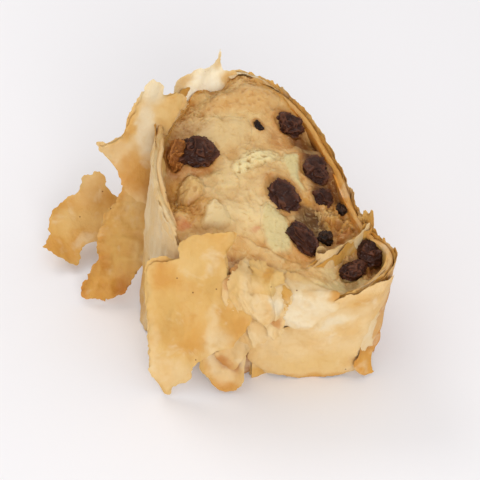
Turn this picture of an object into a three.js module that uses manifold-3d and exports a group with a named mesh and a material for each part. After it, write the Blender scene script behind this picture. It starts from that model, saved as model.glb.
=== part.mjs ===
// A slice of apple strudel standing on one of its two cut faces.
// Millimetres, +Z up. The lower cut face is the flat base at z = 0, the upper cut face slopes
// down towards the front right. The pastry wall goes round the apple filling, and its inner end
// laps past the outer one at the front right corner, which leaves a narrow pocket there.
import * as THREE from "three";
import { mergeVertices } from "three/addons/utils/BufferGeometryUtils.js";
import Module from "manifold-3d";

const wasm = await Module();
wasm.setup();

// ---------------------------------------------------------------- driving dimensions

// Outline of the slice, anticlockwise from the front: rim x, rim y, rim height, foot x, foot y.
const OUTLINE = [
  [-8, -53, 45, -8, -51],
  [8, -56, 41, 8, -52],
  [24, -57, 40, 24, -52],
  [36.5, -54, 41, 35, -50],
  [45.2, -46, 44, 41.2, -45.5],
  [45.6, -37, 45, 42.5, -37],
  [39, -29, 45, 40, -27],
  [33.5, -17, 47, 35, -15],
  [27, 2, 51, 29, 3],
  [17.8, 18.5, 56, 20, 19],
  [7.4, 28.2, 59, 9, 29],
  [-4.5, 33, 61.5, -4, 33.5],
  [-17, 28.5, 62, -18, 29],
  [-26, 16, 62, -28, 17],
  [-31, 0, 62, -34, 0],
  [-32, -18, 61, -35.6, -17],
  [-28.5, -34, 56, -33.2, -33],
  [-21, -46, 50, -23, -45],
];
const COLUMNS_PER_POINT = 5;
const WALL_LEVELS = 6;
const WALL = 3.3; // pastry thickness
const RIM_STEPS = [1.1, 2.2]; // insets of the torn sheet edges inside the rim
const RING_DROP = 0.5; // how much lower each inner sheet edge is
const TEAR = 1.6; // how far the rim's torn edge goes up and down
const GAP = 0.36; // air between neighbouring pieces
const CENTRE = [4, -10]; // a place well inside the wall at every height
const CENTRE_HEIGHT = 50; // of the blank that the room for the filling is cut from
const INNER_STEP = 1; // how far the blank's top goes down and in, past the wall's inner face
const ROOM_HEIGHTS = [-5, 95]; // the room is cut from below the base to above every piece
const OVER_BASE = { width: 400, height: 200 }; // all that lies above the base

// Relief of the wall's outer face, and the sheet round the front's foot, whose upper edge
// rises to the right.
const RELIEF = { fold: 0.5, pleat: 0.4, blister: 0.35 };
const FOOT_SHEET = { thickness: 0.6, height: 20, rise: 0.6 };

// The inner end of the pastry: x, y, top height.
const LAP = [
  [38.2, -29.8, 46.5],
  [33, -36, 45.2],
  [26, -41.5, 44.4],
  [17, -46.5, 39],
  [8, -50, 38],
  [2, -53, 38],
];
const LAP_THICKNESS = 2.2;
const LAP_STEPS = 16;
const LAP_TEAR = 0.8;
const LAP_CUT = 30; // how far the gap round the lap is cut above and below it

// The upper cut face: height at the origin and its rise to the right and to the back.
const FACE = { height: 54.5, right: -0.17, back: 0.19 };
const FACE_STEP = 4.4; // grid of the filling's top
const FILLING_SINK = 0.6; // how far the filling lies below the cut face
const FILLING_LUMP = 0.8;
const FILLING_CRUMB = 0.35;
const FILLING_BLOCK = { left: -42, right: 50, front: -60, back: 38 }; // reaches past the wall

// Hollows and mounds of the filling's top: x, y, radius, height.
const MOUNDS = [
  [-26, -22, 8, -7],
  [-26, 4, 8, -6],
  [-24, 17, 7, -6],
  [-13, 28, 7, -7],
  [-2, 21, 12, 3],
  [20, 10, 7, -4.5],
  [30, -14, 7, -4],
  [27, -28, 7, -2.5],
  [4, -12, 13, 2],
  [-6, -32, 10, 1.5],
  [2, -46, 10, -1.5],
  [16, -40, 7, -1],
  [30, -47, 6, -4],
  [40, -39, 6, -3],
];

const FLAKE = 1.1; // thickness of a loose sheet
const FLAKE_STEP = 8; // grid of a loose sheet
const FLAKE_MARGIN = 1.5; // how far the waved slab reaches past the outline that is cut from it
const FLAKE_CUT = 60; // depth of the cut along the outline, more than any wave
const FLAKE_ROOT = 1; // wall left between the root of an outside sheet and the inner face

// Loose sheets of pastry. Each is drawn in its own plane, which stands at `at`, faces the front,
// is turned about Z and then leans to the back, in degrees. `outside` sheets end in the wall.
const FLAKES = {
  frontFlap: {
    at: [-24, -62, 0], turn: -10, lean: 17, wave: [1.1, 21, 0.4], curl: [0.004, 0.0015],
    outline: [
      [0, 0.6], [-3, 4], [-7, 6.5], [-7, 14], [-9, 23], [-10, 41], [-8, 46.7], [-1, 47.5], [0, 49],
      [-1.5, 52.3], [1.5, 55.8], [6, 58], [17, 60], [16.4, 56.6], [14, 51.5], [16, 45], [18.5, 42.7],
      [21, 36], [24.5, 32.5], [24.3, 29], [20, 22], [14.2, 18.3], [8, 12.5], [6.8, 6], [1, 3],
    ],
  },
  leftTall: {
    at: [-35, -4, 40], turn: 4, lean: 8, wave: [1, 15, 1.3], curl: [-0.01, 0.001],
    outline: [
      [6, -1], [6, 14], [10.5, 28], [12, 32], [10, 33], [5.4, 33], [6, 36], [4, 38], [1, 39], [-3, 31],
      [-7, 20], [-9, 16], [-17, 14.5], [-16, 12], [-12, 9], [-9, 5], [-8, -3],
    ],
  },
  leftFlap: {
    at: [-50, -20, 0], turn: -12, lean: 33, wave: [1.4, 17, 2.2], curl: [0.012, 0.003], outside: true,
    outline: [
      [-5, 0.6], [-7, 4], [-3, 12], [-5, 23], [-2, 30], [1, 36], [2, 42], [10, 44], [18, 42],
      [20, 24], [13, 16], [9, 8], [8, 3], [0, 0.8],
    ],
  },
  sideFlake: {
    at: [-62, -5, 0.6], turn: 14, lean: 60, wave: [0.9, 16, 0.9], curl: [0.003, 0.003], outside: true,
    outline: [
      [3.5, 1.2], [1, 0.4], [-1, 3.4], [-9.6, 9], [-6.5, 11], [-5, 20.5], [1.5, 28], [6.6, 28], [8, 34],
      [12.6, 36.5], [16.7, 35], [17.5, 28], [21, 25], [38, 17], [38, 6], [22, 5], [11.7, 9], [5, 8.3],
    ],
  },
  backSheet: {
    at: [-16, 28, 55], turn: 32, lean: 6, wave: [0.8, 14, 0.2], curl: [0, 0.006],
    outline: [
      [-17, -7], [-14.2, 2], [-12.5, 6], [-9, 10], [-5.6, 12], [2.2, 11.3], [3.6, 16.5], [5, 17],
      [5, 10], [7, 6.8], [11, 6], [11, -5], [-4, -6],
    ],
  },
  lowFlap: {
    at: [-2, -60, 0], turn: -4, lean: 15, wave: [0.5, 12, 0.6], curl: [0.01, 0], outside: true,
    outline: [[-8, 14], [-4, 15.5], [-0.5, 20], [2, 28], [7, 28], [6, 21], [3.3, 16], [-0.5, 9], [-5, 9.2]],
  },
  curl: {
    at: [-4, -61, 0.6], turn: 0, lean: 30, wave: [0.3, 11, 0], curl: [0.015, 0.01], outside: true,
    outline: [
      [-10.8, 10.6], [-10.3, 7], [-8, 3.6], [-4.6, 0.8], [-1, 0], [2.3, 0.7], [4, 4], [5, 8],
      [4, 18.5], [-4, 18.5], [-8.4, 13.3],
    ],
  },
  rightFlap: {
    at: [41.5, -49.5, 0.6], turn: 42, lean: 12, wave: [0.4, 9, 0.5], curl: [0.01, 0], outside: true,
    outline: [[-8, 8.2], [-4, 9], [-3, 18], [4.5, 18], [5, 12], [1.6, 8], [0, 2], [0.9, 0], [-4.4, 0.7]],
  },
  spikes: {
    at: [37, -26, 40], turn: -20, lean: 0, wave: [0.3, 8, 0.2], curl: [0, 0],
    outline: [[0, -4], [-1, 4], [-3, 7], [-1, 6], [-1, 9], [1, 7], [2, 11], [2.4, 6], [3, 1], [3, -3]],
  },
  cornerPeak: {
    at: [43, -32.5, 40], turn: -15, lean: 0, wave: [0.2, 8, 0.3], curl: [0, 0],
    outline: [[-4, 1], [-2, 3], [-1.6, 5.2], [-0.8, 3], [1, 2], [2, -2], [0, -4], [-3, -3]],
  },
  crumpleA: {
    at: [2, -57, 38], turn: -8, lean: 22, wave: [0.9, 9, 0.7], curl: [0.02, 0.01],
    outline: [[-4, 13], [-1, 14.5], [2, 14], [6, 9], [8, 7], [7, -1], [1, -2], [-1, 7]],
  },
  crumpleB: {
    at: [-6, -59, 30], turn: -14, lean: 16, wave: [0.9, 8, 0.1], curl: [0.02, 0.01],
    outline: [[-1, 15], [0, 18], [2, 23], [3, 21], [5, 15], [8, 12], [8, 7], [7, 3], [3, 3], [1, 10]],
  },
  crumpleC: {
    at: [5, -60, 30], turn: 6, lean: 16, wave: [0.8, 9, 1.9], curl: [0.02, 0.02],
    outline: [[-4, 10], [0, 14], [6, 14], [7, 8], [4.6, 5.5], [5.3, 2.5], [3, 0.5], [0, 1.4], [-3, 4]],
  },
  crumpleD: {
    at: [11, -58.5, 36], turn: 10, lean: 14, wave: [0.4, 7, 0.5], curl: [0, 0.02], outside: true,
    outline: [[-1, 6], [2, 6], [3.4, 4], [3.2, 0], [0, -2]],
  },
};

// Apple pieces in the cut face: x, y, height of the middle above the face, length across,
// length to the back, thickness, turn.
const APPLES = [
  { at: [-4, 0, -3.6], size: [21, 15, 13], turn: 12 },
  { at: [-4, -13, -3], size: [14, 10, 10], turn: -10 },
  { at: [13.4, -6, -3.4], size: [9, 16, 11], turn: 28 },
  { at: [6.5, -32, -3.6], size: [12, 19, 12], turn: 22 },
  { at: [-21, -20.5, -3.4], size: [11, 11, 10], turn: 0 },
  { at: [-12.5, -33, -3.4], size: [11, 15, 11], turn: -20 },
  { at: [20.6, -25, -3.6], size: [9, 12, 11], turn: 35 },
  { at: [-3, 19.5, -4.2], size: [28, 15, 14], turn: -16 },
  { at: [29, -27, -3.8], size: [7.5, 7.5, 9], turn: 20 },
];

// Forms of the lumps. A squareness of 1 is an ellipsoid, less is squarer.
const APPLE_LUMP = { squareness: 0.72, folds: 0.07, detail: 1 };
const RAISIN_LUMP = { squareness: 0.95, folds: 0.13, detail: 2 };
const SMALL_RAISIN = 5; // below this width a raisin has fewer facets

// Raisins in the same terms. The last two lie in the pocket at the corner.
const RAISINS = [
  { at: [-18.5, -7.5, 1.2], size: [12, 11, 9], turn: 15 },
  { at: [-25.2, -9, -0.5], size: [5.5, 10, 9], turn: -12, amber: true },
  { at: [1.5, 8.5, 1.6], size: [3.4, 4.6, 4], turn: 30 },
  { at: [11.6, 12.8, 0.2], size: [9.5, 9, 8.5], turn: -25 },
  { at: [10, -19.5, 0.2], size: [10, 14, 9], turn: 38 },
  { at: [20.6, -5, -1.6], size: [10.5, 11.5, 9], turn: 20 },
  { at: [23.2, -15.2, -2.2], size: [7, 8.5, 8], turn: -30 },
  { at: [17, -35.6, 0.4], size: [7, 12.5, 8.5], turn: 38 },
  { at: [29.6, -18.5, -2.5], size: [4.2, 5, 5], turn: 10 },
  { at: [24.6, -33, -0.6], size: [4.6, 4.8, 4.6], turn: 60 },
  { at: [38.8, -35.6, -0.4], size: [8.2, 8.6, 8.5], turn: 20 },
  { at: [33.5, -44.2, -0.8], size: [9.6, 5.6, 7], turn: 24 },
];

const LOOKS = {
  pastry: { color: 0xe3bb78, roughness: 0.6 },
  filling: { color: 0xcdac76, roughness: 0.55 },
  apple: { color: 0xd9d0a0, roughness: 0.4 },
  raisin: { color: 0x432826, roughness: 0.35 },
  amber: { color: 0x8c5428, roughness: 0.35 },
};

// ---------------------------------------------------------------- solids and meshes

function solidOf(geometry) {
  geometry.deleteAttribute("normal");
  geometry.deleteAttribute("uv");
  const merged = mergeVertices(geometry, 1e-5);
  return new wasm.Manifold(new wasm.Mesh({
    numProp: 3,
    vertProperties: new Float32Array(merged.attributes.position.array),
    triVerts: new Uint32Array(merged.index.array),
  }));
}

function solidFrom(points, triangles) {
  const geometry = new THREE.BufferGeometry();
  geometry.setAttribute("position", new THREE.Float32BufferAttribute(points.flat(), 3));
  geometry.setIndex(triangles.flat());
  return solidOf(geometry);
}

function meshOf(name, solid, look) {
  const { numProp, vertProperties, triVerts } = solid.getMesh();
  const geometry = new THREE.BufferGeometry();
  const position = new Float32Array(vertProperties.length / numProp * 3);
  for (let i = 0; i < position.length / 3; i += 1) {
    position.set(vertProperties.subarray(i * numProp, i * numProp + 3), i * 3);
  }
  geometry.setAttribute("position", new THREE.BufferAttribute(position, 3));
  geometry.setIndex(Array.from(triVerts));
  geometry.computeVertexNormals();
  const material = new THREE.MeshStandardMaterial({ ...look, metalness: 0 });
  const mesh = new THREE.Mesh(geometry, material);
  mesh.name = name;
  return mesh;
}

// The body of a solid that holds the most, without loose scrap.
function largestBody(solid) {
  const bodies = solid.decompose().sort((a, b) => b.volume() - a.volume());
  return bodies[0];
}

// A number from 0 to 1 that is fixed for each n.
function scatter(n) {
  const value = Math.sin(n * 127.1 + 11.7) * 43758.5453;
  return value - Math.floor(value);
}

// ---------------------------------------------------------------- pastry wall

const rimCurve = new THREE.CatmullRomCurve3(
  OUTLINE.map(([x, y, z]) => new THREE.Vector3(x, y, z)), true, "catmullrom", 0.5);
const footCurve = new THREE.CatmullRomCurve3(
  OUTLINE.map(([, , , x, y]) => new THREE.Vector3(x, y, 0)), true, "catmullrom", 0.5);

function makeColumns() {
  const count = OUTLINE.length * COLUMNS_PER_POINT;
  const columns = [];
  for (let i = 0; i < count; i += 1) {
    const rim = rimCurve.getPoint(i / count);
    const foot = footCurve.getPoint(i / count);
    const along = rimCurve.getTangent(i / count).add(footCurve.getTangent(i / count));
    const out = new THREE.Vector3(along.y, -along.x, 0).normalize();
    columns.push({ rim, foot, out, turn: i / count });
  }
  return columns;
}

const columns = makeColumns();

// The point of a column at height z, moved out of the wall's outer face by `offset`.
function columnPoint(column, z, offset) {
  const point = column.foot.clone().lerp(column.rim, z / column.rim.z);
  point.addScaledVector(column.out, offset);
  return [point.x, point.y, z];
}

// Folds and blisters, and the sheet round the front's foot. `level` is 0 at the base, 1 at the rim.
function wallRelief(column, level) {
  const angle = column.turn * 2 * Math.PI;
  const folds = RELIEF.fold * Math.sin(5 * angle + 3 * level);
  const pleats = RELIEF.pleat * Math.sin(13 * angle - 4 * level + 1);
  const blisters = RELIEF.blister * Math.sin(23 * angle + 9 * level) * Math.sin(2 + 7 * level);
  const height = level * column.rim.z;
  const sheetEdge = FOOT_SHEET.height + FOOT_SHEET.rise * column.rim.x;
  const facesFront = column.out.y < -0.7 && column.rim.x > 0;
  const sheet = facesFront && height < sheetEdge ? FOOT_SHEET.thickness : 0;
  return folds + pleats + blisters + sheet;
}

function rimHeight(column, index, ring) {
  return column.rim.z + TEAR * (scatter(index * 7 + ring * 31) - 0.5) - RING_DROP * ring;
}

// A closed stack of rings, each a list of points, with a middle point at either end.
function stackSolid(rings, bottom, top) {
  const count = rings[0].length;
  const points = [...rings.flat(), bottom, top];
  const last = rings.length - 1;
  const bottomIndex = points.length - 2;
  const topIndex = points.length - 1;
  const triangles = [];
  for (let i = 0; i < count; i += 1) {
    const j = (i + 1) % count;
    triangles.push([bottomIndex, j, i]);
    triangles.push([topIndex, last * count + i, last * count + j]);
    for (let r = 0; r < last; r += 1) {
      triangles.push([r * count + i, r * count + j, (r + 1) * count + j]);
      triangles.push([r * count + i, (r + 1) * count + j, (r + 1) * count + i]);
    }
  }
  return solidFrom(points, triangles);
}

function outerSolid() {
  const rings = [];
  for (let level = 0; level <= WALL_LEVELS; level += 1) {
    const part = level / WALL_LEVELS;
    rings.push(columns.map((column, i) => {
      const z = part < 1 ? part * column.rim.z : rimHeight(column, i, 0);
      return columnPoint(column, z, wallRelief(column, part));
    }));
  }
  RIM_STEPS.forEach((inset, k) => {
    rings.push(columns.map((column, i) => columnPoint(column, rimHeight(column, i, k + 1), -inset)));
  });
  rings.push(columns.map((column) => (
    columnPoint(column, column.rim.z - INNER_STEP, -WALL - INNER_STEP))));
  return stackSolid(rings, [...CENTRE, 0], [...CENTRE, CENTRE_HEIGHT]);
}

// Everything inside the wall's inner face, moved in by `gap`, from below the base to high above.
function insideSolid(gap) {
  const [low, high] = ROOM_HEIGHTS;
  const rings = [low, high].map((z) => columns.map((column) => columnPoint(column, z, -WALL - gap)));
  return stackSolid(rings, [...CENTRE, low], [...CENTRE, high]);
}

// ---------------------------------------------------------------- inner end of the pastry

function lapSolid(thickness, extraHeight) {
  const curve = new THREE.CatmullRomCurve3(LAP.map(([x, y, z]) => new THREE.Vector3(x, y, z)));
  const points = [];
  const triangles = [];
  for (let i = 0; i <= LAP_STEPS; i += 1) {
    const point = curve.getPoint(i / LAP_STEPS);
    const along = curve.getTangent(i / LAP_STEPS);
    const side = new THREE.Vector3(along.y, -along.x, 0).normalize().multiplyScalar(thickness / 2);
    const top = point.z + extraHeight + LAP_TEAR * (scatter(i) - 0.5);
    const floor = -extraHeight;
    points.push([point.x + side.x, point.y + side.y, floor]);
    points.push([point.x - side.x, point.y - side.y, floor]);
    points.push([point.x - side.x, point.y - side.y, top]);
    points.push([point.x + side.x, point.y + side.y, top]);
  }
  for (let i = 0; i < LAP_STEPS; i += 1) {
    for (let k = 0; k < 4; k += 1) {
      const a = i * 4 + k;
      const b = i * 4 + (k + 1) % 4;
      triangles.push([a, b, b + 4], [a, b + 4, a + 4]);
    }
  }
  const end = LAP_STEPS * 4;
  triangles.push([0, 2, 1], [0, 3, 2], [end, end + 1, end + 2], [end, end + 2, end + 3]);
  return solidFrom(points, triangles);
}

// ---------------------------------------------------------------- filling

function faceHeight(x, y) {
  return FACE.height + FACE.right * x + FACE.back * y;
}

function fillingHeight(x, y) {
  let height = faceHeight(x, y) - FILLING_SINK;
  for (const [mx, my, radius, rise] of MOUNDS) {
    height += rise * Math.exp(-((x - mx) ** 2 + (y - my) ** 2) / radius ** 2);
  }
  const lumps = Math.sin(0.9 * x + 0.3 * y) * Math.cos(0.7 * y - 0.2 * x);
  const crumbs = Math.sin(1.7 * x + 2.1 * y + 1);
  return height + FILLING_LUMP * lumps + FILLING_CRUMB * crumbs;
}

// A block with the filling's uneven top.
function moundSolid() {
  const { left: x0, right: x1, front: y0, back: y1 } = FILLING_BLOCK;
  const nx = Math.round((x1 - x0) / FACE_STEP);
  const ny = Math.round((y1 - y0) / FACE_STEP);
  const points = [];
  const triangles = [];
  for (const isTop of [false, true]) {
    for (let j = 0; j <= ny; j += 1) {
      for (let i = 0; i <= nx; i += 1) {
        const x = x0 + (x1 - x0) * i / nx;
        const y = y0 + (y1 - y0) * j / ny;
        points.push([x, y, isTop ? fillingHeight(x, y) : 0]);
      }
    }
  }
  const layer = (nx + 1) * (ny + 1);
  const at = (i, j, top) => (top ? layer : 0) + j * (nx + 1) + i;
  for (let j = 0; j < ny; j += 1) {
    for (let i = 0; i < nx; i += 1) {
      const cell = (top) => [at(i, j, top), at(i + 1, j, top), at(i + 1, j + 1, top), at(i, j + 1, top)];
      const [a, b, c, d] = cell(true);
      const [e, f, g, h] = cell(false);
      triangles.push([a, b, c], [a, c, d], [e, g, f], [e, h, g]);
    }
  }
  const wall = (p, q) => {
    triangles.push([p, q, q + layer], [p, q + layer, p + layer]);
  };
  for (let i = 0; i < nx; i += 1) {
    wall(at(i, 0), at(i + 1, 0));
    wall(at(i + 1, ny), at(i, ny));
  }
  for (let j = 0; j < ny; j += 1) {
    wall(at(nx, j), at(nx, j + 1));
    wall(at(0, j + 1), at(0, j));
  }
  return solidFrom(points, triangles);
}

// ---------------------------------------------------------------- loose sheets

function flakeFrame({ at, turn, lean }) {
  const matrix = new THREE.Matrix4().makeTranslation(...at);
  matrix.multiply(new THREE.Matrix4().makeRotationZ(THREE.MathUtils.degToRad(turn)));
  matrix.multiply(new THREE.Matrix4().makeRotationX(THREE.MathUtils.degToRad(90 - lean)));
  return matrix;
}

// How far the sheet lies out of its plane at (u, v).
function flakeWave({ wave: [height, length, phase], curl: [curlU, curlV], middle }, u, v) {
  const turns = 2 * Math.PI / length;
  const ripple = height * Math.sin(turns * u + phase) * Math.cos(0.7 * turns * v + 2 * phase);
  return ripple + curlU * (u - middle[0]) ** 2 + curlV * (v - middle[1]) ** 2;
}

function slabSolid(flake, thickness, low, high) {
  const nu = Math.ceil((high[0] - low[0]) / FLAKE_STEP);
  const nv = Math.ceil((high[1] - low[1]) / FLAKE_STEP);
  const slab = new THREE.BoxGeometry(high[0] - low[0], high[1] - low[1], thickness, nu, nv, 1);
  slab.translate((high[0] + low[0]) / 2, (high[1] + low[1]) / 2, 0);
  const position = slab.attributes.position;
  for (let i = 0; i < position.count; i += 1) {
    const wave = flakeWave(flake, position.getX(i), position.getY(i));
    position.setZ(i, position.getZ(i) + wave);
  }
  return solidOf(slab);
}

function flakeSolid(definition, grow) {
  const us = definition.outline.map(([u]) => u);
  const vs = definition.outline.map(([, v]) => v);
  const low = [Math.min(...us) - FLAKE_MARGIN, Math.min(...vs) - FLAKE_MARGIN];
  const high = [Math.max(...us) + FLAKE_MARGIN, Math.max(...vs) + FLAKE_MARGIN];
  const flake = { ...definition, middle: [(low[0] + high[0]) / 2, (low[1] + high[1]) / 2] };
  const shape = new THREE.Shape(definition.outline.map(([u, v]) => new THREE.Vector2(u, v)));
  const stencil = new THREE.ExtrudeGeometry(shape, { depth: FLAKE_CUT, bevelEnabled: false });
  stencil.translate(0, 0, -FLAKE_CUT / 2);
  if (grow > 0) {
    const scale = 1 + 2 * grow / Math.min(high[0] - low[0], high[1] - low[1]);
    stencil.translate(-flake.middle[0], -flake.middle[1], 0);
    stencil.scale(scale, scale, 1);
    stencil.translate(flake.middle[0], flake.middle[1], 0);
  }
  const sheet = slabSolid(flake, FLAKE + 2 * grow, low, high).intersect(solidOf(stencil));
  return sheet.transform(flakeFrame(definition).elements);
}

// ---------------------------------------------------------------- apple and raisins

// A rounded lump, `rise` above the cut face and tipped with it.
function lumpSolid({ at: [x, y, rise], size, turn }, { squareness, folds: depth, detail }, grow) {
  const lump = new THREE.IcosahedronGeometry(1, detail);
  const position = lump.attributes.position;
  const point = new THREE.Vector3();
  for (let i = 0; i < position.count; i += 1) {
    point.fromBufferAttribute(position, i);
    const folds = Math.sin(5 * point.x + 3 * point.z + x) * Math.sin(4 * point.y - 3 * point.z + y);
    const radius = 1 + depth * folds;
    const square = (value) => Math.sign(value) * Math.abs(value) ** squareness;
    point.set(square(point.x), square(point.y), square(point.z));
    point.multiply(new THREE.Vector3(...size).multiplyScalar(radius / 2).addScalar(grow));
    position.setXYZ(i, point.x, point.y, point.z);
  }
  lump.rotateZ(THREE.MathUtils.degToRad(turn));
  lump.rotateX(Math.atan(FACE.back));
  lump.rotateY(-Math.atan(FACE.right));
  lump.translate(x, y, faceHeight(x, y) + rise);
  return solidOf(lump);
}

function appleSolid(apple, grow) {
  return lumpSolid(apple, APPLE_LUMP, grow);
}

function raisinSolid(raisin, grow) {
  const isSmall = raisin.size[0] < SMALL_RAISIN;
  return lumpSolid(raisin, isSmall ? { ...RAISIN_LUMP, detail: 1 } : RAISIN_LUMP, grow);
}

// ---------------------------------------------------------------- the slice

function pastrySolid(flakes) {
  const overBase = new THREE.BoxGeometry(OVER_BASE.width, OVER_BASE.width, OVER_BASE.height);
  overBase.translate(0, 0, OVER_BASE.height / 2);
  const rooted = flakes
    .filter(({ outside }) => outside)
    .map((flake) => flakeSolid(flake, 0))
    .reduce((a, b) => a.add(b))
    .subtract(insideSolid(-FLAKE_ROOT));
  const standing = flakes
    .filter(({ outside }) => !outside)
    .map((flake) => flakeSolid(flake, 0))
    .reduce((a, b) => a.add(b));
  const wall = outerSolid().subtract(insideSolid(0)).add(lapSolid(LAP_THICKNESS, 0));
  return largestBody(wall.add(rooted).add(standing).intersect(solidOf(overBase)));
}

function buildSlice() {
  const flakes = Object.values(FLAKES);
  const group = new THREE.Group();
  const add = (name, solid, look) => {
    group.add(meshOf(name, solid, look));
  };

  add("pastry", pastrySolid(flakes), LOOKS.pastry);

  const room = insideSolid(GAP)
    .subtract(lapSolid(LAP_THICKNESS + 2 * GAP, LAP_CUT));
  const flakeRoom = flakes
    .filter(({ outside }) => !outside)
    .map((flake) => flakeSolid(flake, GAP))
    .reduce((a, b) => a.add(b));
  const raisinRoom = RAISINS.map((raisin) => raisinSolid(raisin, GAP)).reduce((a, b) => a.add(b));

  let taken = raisinRoom;
  const apples = APPLES.map((apple) => {
    const solid = appleSolid(apple, 0).intersect(room).subtract(flakeRoom).subtract(taken);
    taken = taken.add(appleSolid(apple, GAP));
    return largestBody(solid);
  });

  const [main, turn] = moundSolid()
    .intersect(room)
    .subtract(flakeRoom)
    .subtract(taken)
    .decompose()
    .sort((a, b) => b.volume() - a.volume());
  add("filling", main, LOOKS.filling);
  add("filling_turn", turn, LOOKS.filling);
  apples.forEach((solid, i) => add(`apple_${i + 1}`, solid, LOOKS.apple));

  let raisinsTaken = null;
  RAISINS.forEach((raisin, i) => {
    let solid = raisinSolid(raisin, 0).intersect(room).subtract(flakeRoom);
    if (raisinsTaken) {
      solid = solid.subtract(raisinsTaken);
    }
    const grown = raisinSolid(raisin, GAP);
    raisinsTaken = raisinsTaken ? raisinsTaken.add(grown) : grown;
    add(`raisin_${i + 1}`, largestBody(solid), raisin.amber ? LOOKS.amber : LOOKS.raisin);
  });
  return group;
}

// The frame's origin is below the middle of the slice, on the surface that it stands on.
function standAtOrigin(group) {
  const box = new THREE.Box3().setFromObject(group);
  const middle = box.getCenter(new THREE.Vector3());
  group.position.set(-middle.x, -middle.y, -box.min.z);
  return group;
}

export default standAtOrigin(buildSlice());
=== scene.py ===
"""Apple strudel slice: sheets of flaky pastry round an apple and raisin filling, standing on a cut face.

Shapes are worked out in millimetres in the slice's own axes, as in the CAD part, and go into the
shared frame, in metres, as each mesh is made.
"""
import math

import bmesh
import bpy
import numpy as np
from mathutils import Matrix, Vector
from mathutils.geometry import delaunay_2d_cdt


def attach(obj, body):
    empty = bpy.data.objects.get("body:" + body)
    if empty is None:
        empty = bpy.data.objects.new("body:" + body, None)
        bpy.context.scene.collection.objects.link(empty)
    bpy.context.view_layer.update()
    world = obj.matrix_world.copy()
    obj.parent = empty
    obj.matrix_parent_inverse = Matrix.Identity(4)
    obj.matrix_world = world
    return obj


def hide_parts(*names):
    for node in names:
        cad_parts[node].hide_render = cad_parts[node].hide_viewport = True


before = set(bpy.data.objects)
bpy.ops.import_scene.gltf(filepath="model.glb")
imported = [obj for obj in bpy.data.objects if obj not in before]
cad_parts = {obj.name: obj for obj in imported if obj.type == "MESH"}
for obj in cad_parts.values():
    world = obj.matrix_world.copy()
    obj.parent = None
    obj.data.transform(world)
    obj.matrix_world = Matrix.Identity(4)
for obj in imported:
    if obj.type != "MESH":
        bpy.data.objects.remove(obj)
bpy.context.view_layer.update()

# ---------------------------------------------------------------- driving dimensions, mm

MM = 0.001
FRAME_SHIFT = np.array([13.687, 14.496, 0.0])  # from the slice's own axes to the frame's origin

# Rim x, rim y, rim height, foot x, foot y, anticlockwise from the front.
OUTLINE = np.array([
    [-8, -53, 45, -8, -51],
    [8, -56, 41, 8, -52],
    [24, -57, 40, 24, -52],
    [36.5, -54, 41, 35, -50],
    [45.2, -46, 44, 41.2, -45.5],
    [45.6, -37, 45, 42.5, -37],
    [39, -29, 45, 40, -27],
    [33.5, -17, 47, 35, -15],
    [27, 2, 51, 29, 3],
    [17.8, 18.5, 56, 20, 19],
    [7.4, 28.2, 59, 9, 29],
    [-4.5, 33, 61.5, -4, 33.5],
    [-17, 28.5, 62, -18, 29],
    [-26, 16, 62, -28, 17],
    [-31, 0, 62, -34, 0],
    [-32, -18, 61, -35.6, -17],
    [-28.5, -34, 56, -33.2, -33],
    [-21, -46, 50, -23, -45],
], dtype=float)
WALL = 3.3  # thickness of the pastry wall
FACE_HEIGHT, FACE_RIGHT, FACE_BACK = 54.5, -0.17, 0.19  # the cut face: height in the middle, and slopes

# The inner end of the pastry: x, y, top height. It sinks into the filling to the left.
LAP = np.array([
    [38.2, -29.8, 46.5],
    [33, -36, 45.2],
    [26, -41.5, 44.4],
    [17, -46.5, 39],
    [8, -50, 38],
    [2, -53, 38],
], dtype=float)

# Hollows and mounds of the filling's top: x, y, radius, height. Crumbs fill the second to fourth, by the
# left and back rim, up to 2.5 mm higher than in the solid.
MOUNDS = [
    (-26, -22, 8, -7),
    (-26, 4, 8, -4),
    (-24, 17, 7, -3.5),
    (-13, 28, 7, -4.5),
    (-2, 21, 12, 3),
    (20, 10, 7, -4.5),
    (30, -14, 7, -4),
    (27, -28, 7, -2.5),
    (4, -12, 13, 2),
    (-6, -32, 10, 1.5),
    (2, -46, 10, -1.5),
    (16, -40, 7, -1),
    (30, -47, 6, -4),
    (40, -39, 6, -3),
]

SHEET = 0.22  # thickness of one sheet of pastry
EDGE_SHARE = 0.35  # how much of it is left at a torn edge
THINNING = 1.2  # how far from the edge a sheet thins out
CURL_REACH = 1.9  # how far from the edge it curls
UNDER_GAP = 0.7  # from a sheet to the one behind it
UNDER_SPREAD = 0.9  # how far the one behind shows past it
CRISP_EDGE = 55  # pastry edges that turn by more degrees stay sharp
FLOOR_GAP = 0.02  # what the lowest points keep from the floor
MASH_DROP = 0.6  # from the plane of the cut face down to the apple mash
FOLD_OUT, FOLD_UP = 0.6, 0.5  # how far dough folded over the rim stands off the wall and the mash
FOLD_SETTLE = 6.0  # how far in the folded dough has come down to the mash


def srgb(red, green, blue):
    """A linear colour from display values of 0 to 255."""
    def linear(value):
        value /= 255
        return value / 12.92 if value <= 0.04045 else ((value + 0.055) / 1.055) ** 2.4
    return (linear(red), linear(green), linear(blue), 1.0)


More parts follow.
